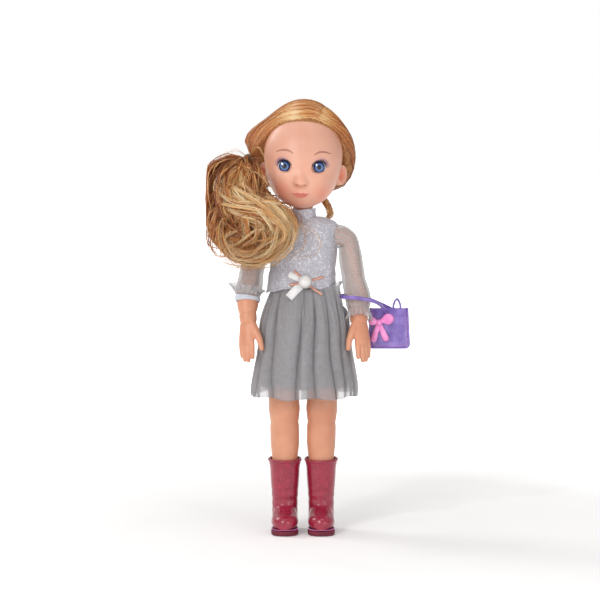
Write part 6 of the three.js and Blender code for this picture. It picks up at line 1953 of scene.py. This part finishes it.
def build_bag_bow():
    """A puffed bow: two loops, two tails and a knot, fused to one moulded piece."""
    pieces = [bow_loop([-4.6, 0.1, 0.9], 4.5, 1.9, 3.6, -0.2), bow_loop([6.4, 0.1, 2.6], 6.0, 2.0, 4.8, 0.26)]
    for reach, drop in ((-4.4, 14.0), (5.6, 13.0)):
        bends = [KNOT, KNOT + [reach * 0.45, 0.4, -drop * 0.45], KNOT + [reach, 0.6, -drop]]
        widths = np.linspace(1.7, 2.7, 12)
        line = catmull(bends, len(widths))
        pieces.append(tapered("tail", line, widths, 18, flat=(1.0, 0.42), up=(0, 1, 0)))
    pieces.append(loft("knot", KNOT + [0, -0.5, 0] + ball(2.4, 2.3, 2.8, 16, 24)))
    bow = fuse(join_objects("bag_bow", pieces), *BOW_SKIN)
    cover(bow, BOW_MAT)
    return bow


wear(sheet_mesh("bag_front", bag_panel(-1), VINYL_THICK, BAG_MAT), "handbag", "bag_vinyl", "handbag_body")
wear(sheet_mesh("bag_back", bag_panel(1)[:, ::-1], VINYL_THICK, BAG_MAT), "handbag", "bag_vinyl")
wear(sheet_mesh("bag_gusset", bag_gusset(), VINYL_THICK, BAG_MAT), "handbag", "bag_vinyl")
for sign, word in ((-1, "front"), (1, "back")):
    rim = catmull(bag_line(0.3, BAG_Y + sign * (BAG_HALF_THICK - 0.55)), 150)
    wear(sweep("bag_piping_" + word, rim, PIPING_RADIUS), "handbag", "bag_vinyl")
    wear(bag_stitches("bag_stitches_" + word, sign), "handbag", "bag_vinyl")
wear(build_strap(), "handbag", "bag_vinyl", "handbag_strap")
wear(build_bag_ring(), "handbag", "bag_vinyl")
wear(build_bag_bow(), "handbag", "bag_bow", "handbag_bow")

# The CAD nodes that show as they are, and what lies inside: a material for each slot

INNER_MATERIALS = {
    "torso_plastic": plastic_material("torso_shell", "#e6a988", "#d9987a", 0.5),
    "white_plastic": plastic_material("white_housing", "#e9e9e4", "#dcdcd6", 0.55),
    "steel": metal_material("steel", "#b9bcc0", "#94979c"),
    "brass": metal_material("brass", "#c9a85c", "#a5853f"),
    "board": plastic_material("circuit_board", "#2f7d46", "#1f6234", 0.45),
    "black_resin": plastic_material("black_resin", "#1b1b1d", "#101012", 0.3),
    "switch": plastic_material("switch_body", "#33353a", "#222328", 0.4),
    "speaker_metal": metal_material("speaker_metal", "#8f9296", "#6d7074", 0.4),
    "paper_cone": woven_material("paper_cone", "#3a3735", "#282624", 0.7),
    "button_plastic": plastic_material("button", "#d9a0a8", "#cf9099", 0.35, Coat_Weight=0.3),
}
for entry in frame["record"]["subparts"]:
    material = INNER_MATERIALS.get(entry.get("material_slot"))
    carried_over = nodes.get(entry["node"])
    if material and carried_over and not carried_over.hide_render:
        cover(carried_over, material)

# Floor, light and camera

FLOOR_RINGS = np.array([0, 150, 300, 450, 650, 900, 1500, 3000, 8000, 20000.0])
FLOOR_Z = -0.3


def white_to_camera(m, strength):
    """A strength that only the camera, mirrors and glass see."""
    path = m.node("ShaderNodeLightPath").outputs
    reflected = m.math("MAXIMUM", path["Is Glossy Ray"], path["Is Transmission Ray"])
    return m.times(m.math("MAXIMUM", path["Is Camera Ray"], reflected), strength)


def add_stage():
    """A pale floor that turns white away from the doll."""
    turn = circle(64)
    rings = [level_ring(0, 0, r, FLOOR_Z, turn) for r in FLOOR_RINGS]
    far = np.repeat(smoothstep(FLOOR_RINGS, 200, 800), len(turn))
    m = Material("pale_floor", "#f8f7f6", 0.8)
    m.tint(m.noise(0.02, 2.0), [(0.2, "#f5f4f3"), (0.8, "#faf9f8")])
    m.set("Emission Color", rgb("#ffffff"))
    m.link(white_to_camera(m, m.plus(m.times(m.attribute("far"), 0.85), 0.15)), "Emission Strength")
    faces = grid_faces(len(rings), len(turn))
    mesh_object("floor", np.concatenate(rings), faces, m.mat, attributes={"far": far})


LIT_MIDDLE, LIT_FACE = (0, 0, 0.2), (0, 0, 0.3)
# Each light's name, place, aim, width and power, in metres and watts
LIGHTS = [
    ("key", (-0.7, -1.4, 0.65), LIT_MIDDLE, 0.6, 7.5),
    ("fill", (0.9, -1.3, 0.3), LIT_MIDDLE, 0.9, 4),
    ("top", (0.1, -0.35, 1.5), LIT_MIDDLE, 0.8, 2.2),
    ("back_left", (-0.9, 0.5, 0.9), LIT_MIDDLE, 0.5, 4),
    ("eye_light", (-0.62, -0.95, 0.95), LIT_FACE, 0.09, 2.2),
]


def area_light(name, where, at, size, power):
    data = bpy.data.lights.new(name, "AREA")
    data.shape = "DISK"
    data.size = size
    data.energy = power
    obj = bpy.data.objects.new(name, data)
    obj.location = where
    obj.rotation_euler = (Vector(at) - Vector(where)).to_track_quat("-Z", "Y").to_euler()
    bpy.context.scene.collection.objects.link(obj)


def add_light():
    world = bpy.data.worlds.new("studio")
    world.use_nodes = True
    tree = world.node_tree
    background = tree.nodes["Background"]
    background.inputs["Color"].default_value = (1.0, 1.0, 1.0, 1.0)
    path = tree.nodes.new("ShaderNodeLightPath")
    level = tree.nodes.new("ShaderNodeMapRange")
    level.inputs["To Min"].default_value = 0.5
    level.inputs["To Max"].default_value = 1.0
    tree.links.new(path.outputs["Is Camera Ray"], level.inputs["Value"])
    tree.links.new(level.outputs["Result"], background.inputs["Strength"])
    bpy.context.scene.world = world
    for light in LIGHTS:
        area_light(*light)


CAMERA_DISTANCE = 1.8
CAMERA_RISE = math.radians(4)
FRAME_WIDTH = 0.4944
CAMERA_AIM = (-2.5, 0, 191.0)


def add_camera():
    """Stands straight in front, where the photo was taken from, with the photo's crop."""
    at = Vector(place(CAMERA_AIM))
    away = Vector((0, -math.cos(CAMERA_RISE), math.sin(CAMERA_RISE))) * CAMERA_DISTANCE
    data = bpy.data.cameras.new("camera")
    data.sensor_width = 36
    data.lens = data.sensor_width * CAMERA_DISTANCE / FRAME_WIDTH
    camera = bpy.data.objects.new("camera", data)
    camera.location = at + away
    camera.rotation_euler = (-away).to_track_quat("-Z", "Y").to_euler()
    bpy.context.scene.collection.objects.link(camera)
    bpy.context.scene.camera = camera


add_stage()
add_light()
add_camera()
bpy.context.scene.view_settings.view_transform = "Standard"
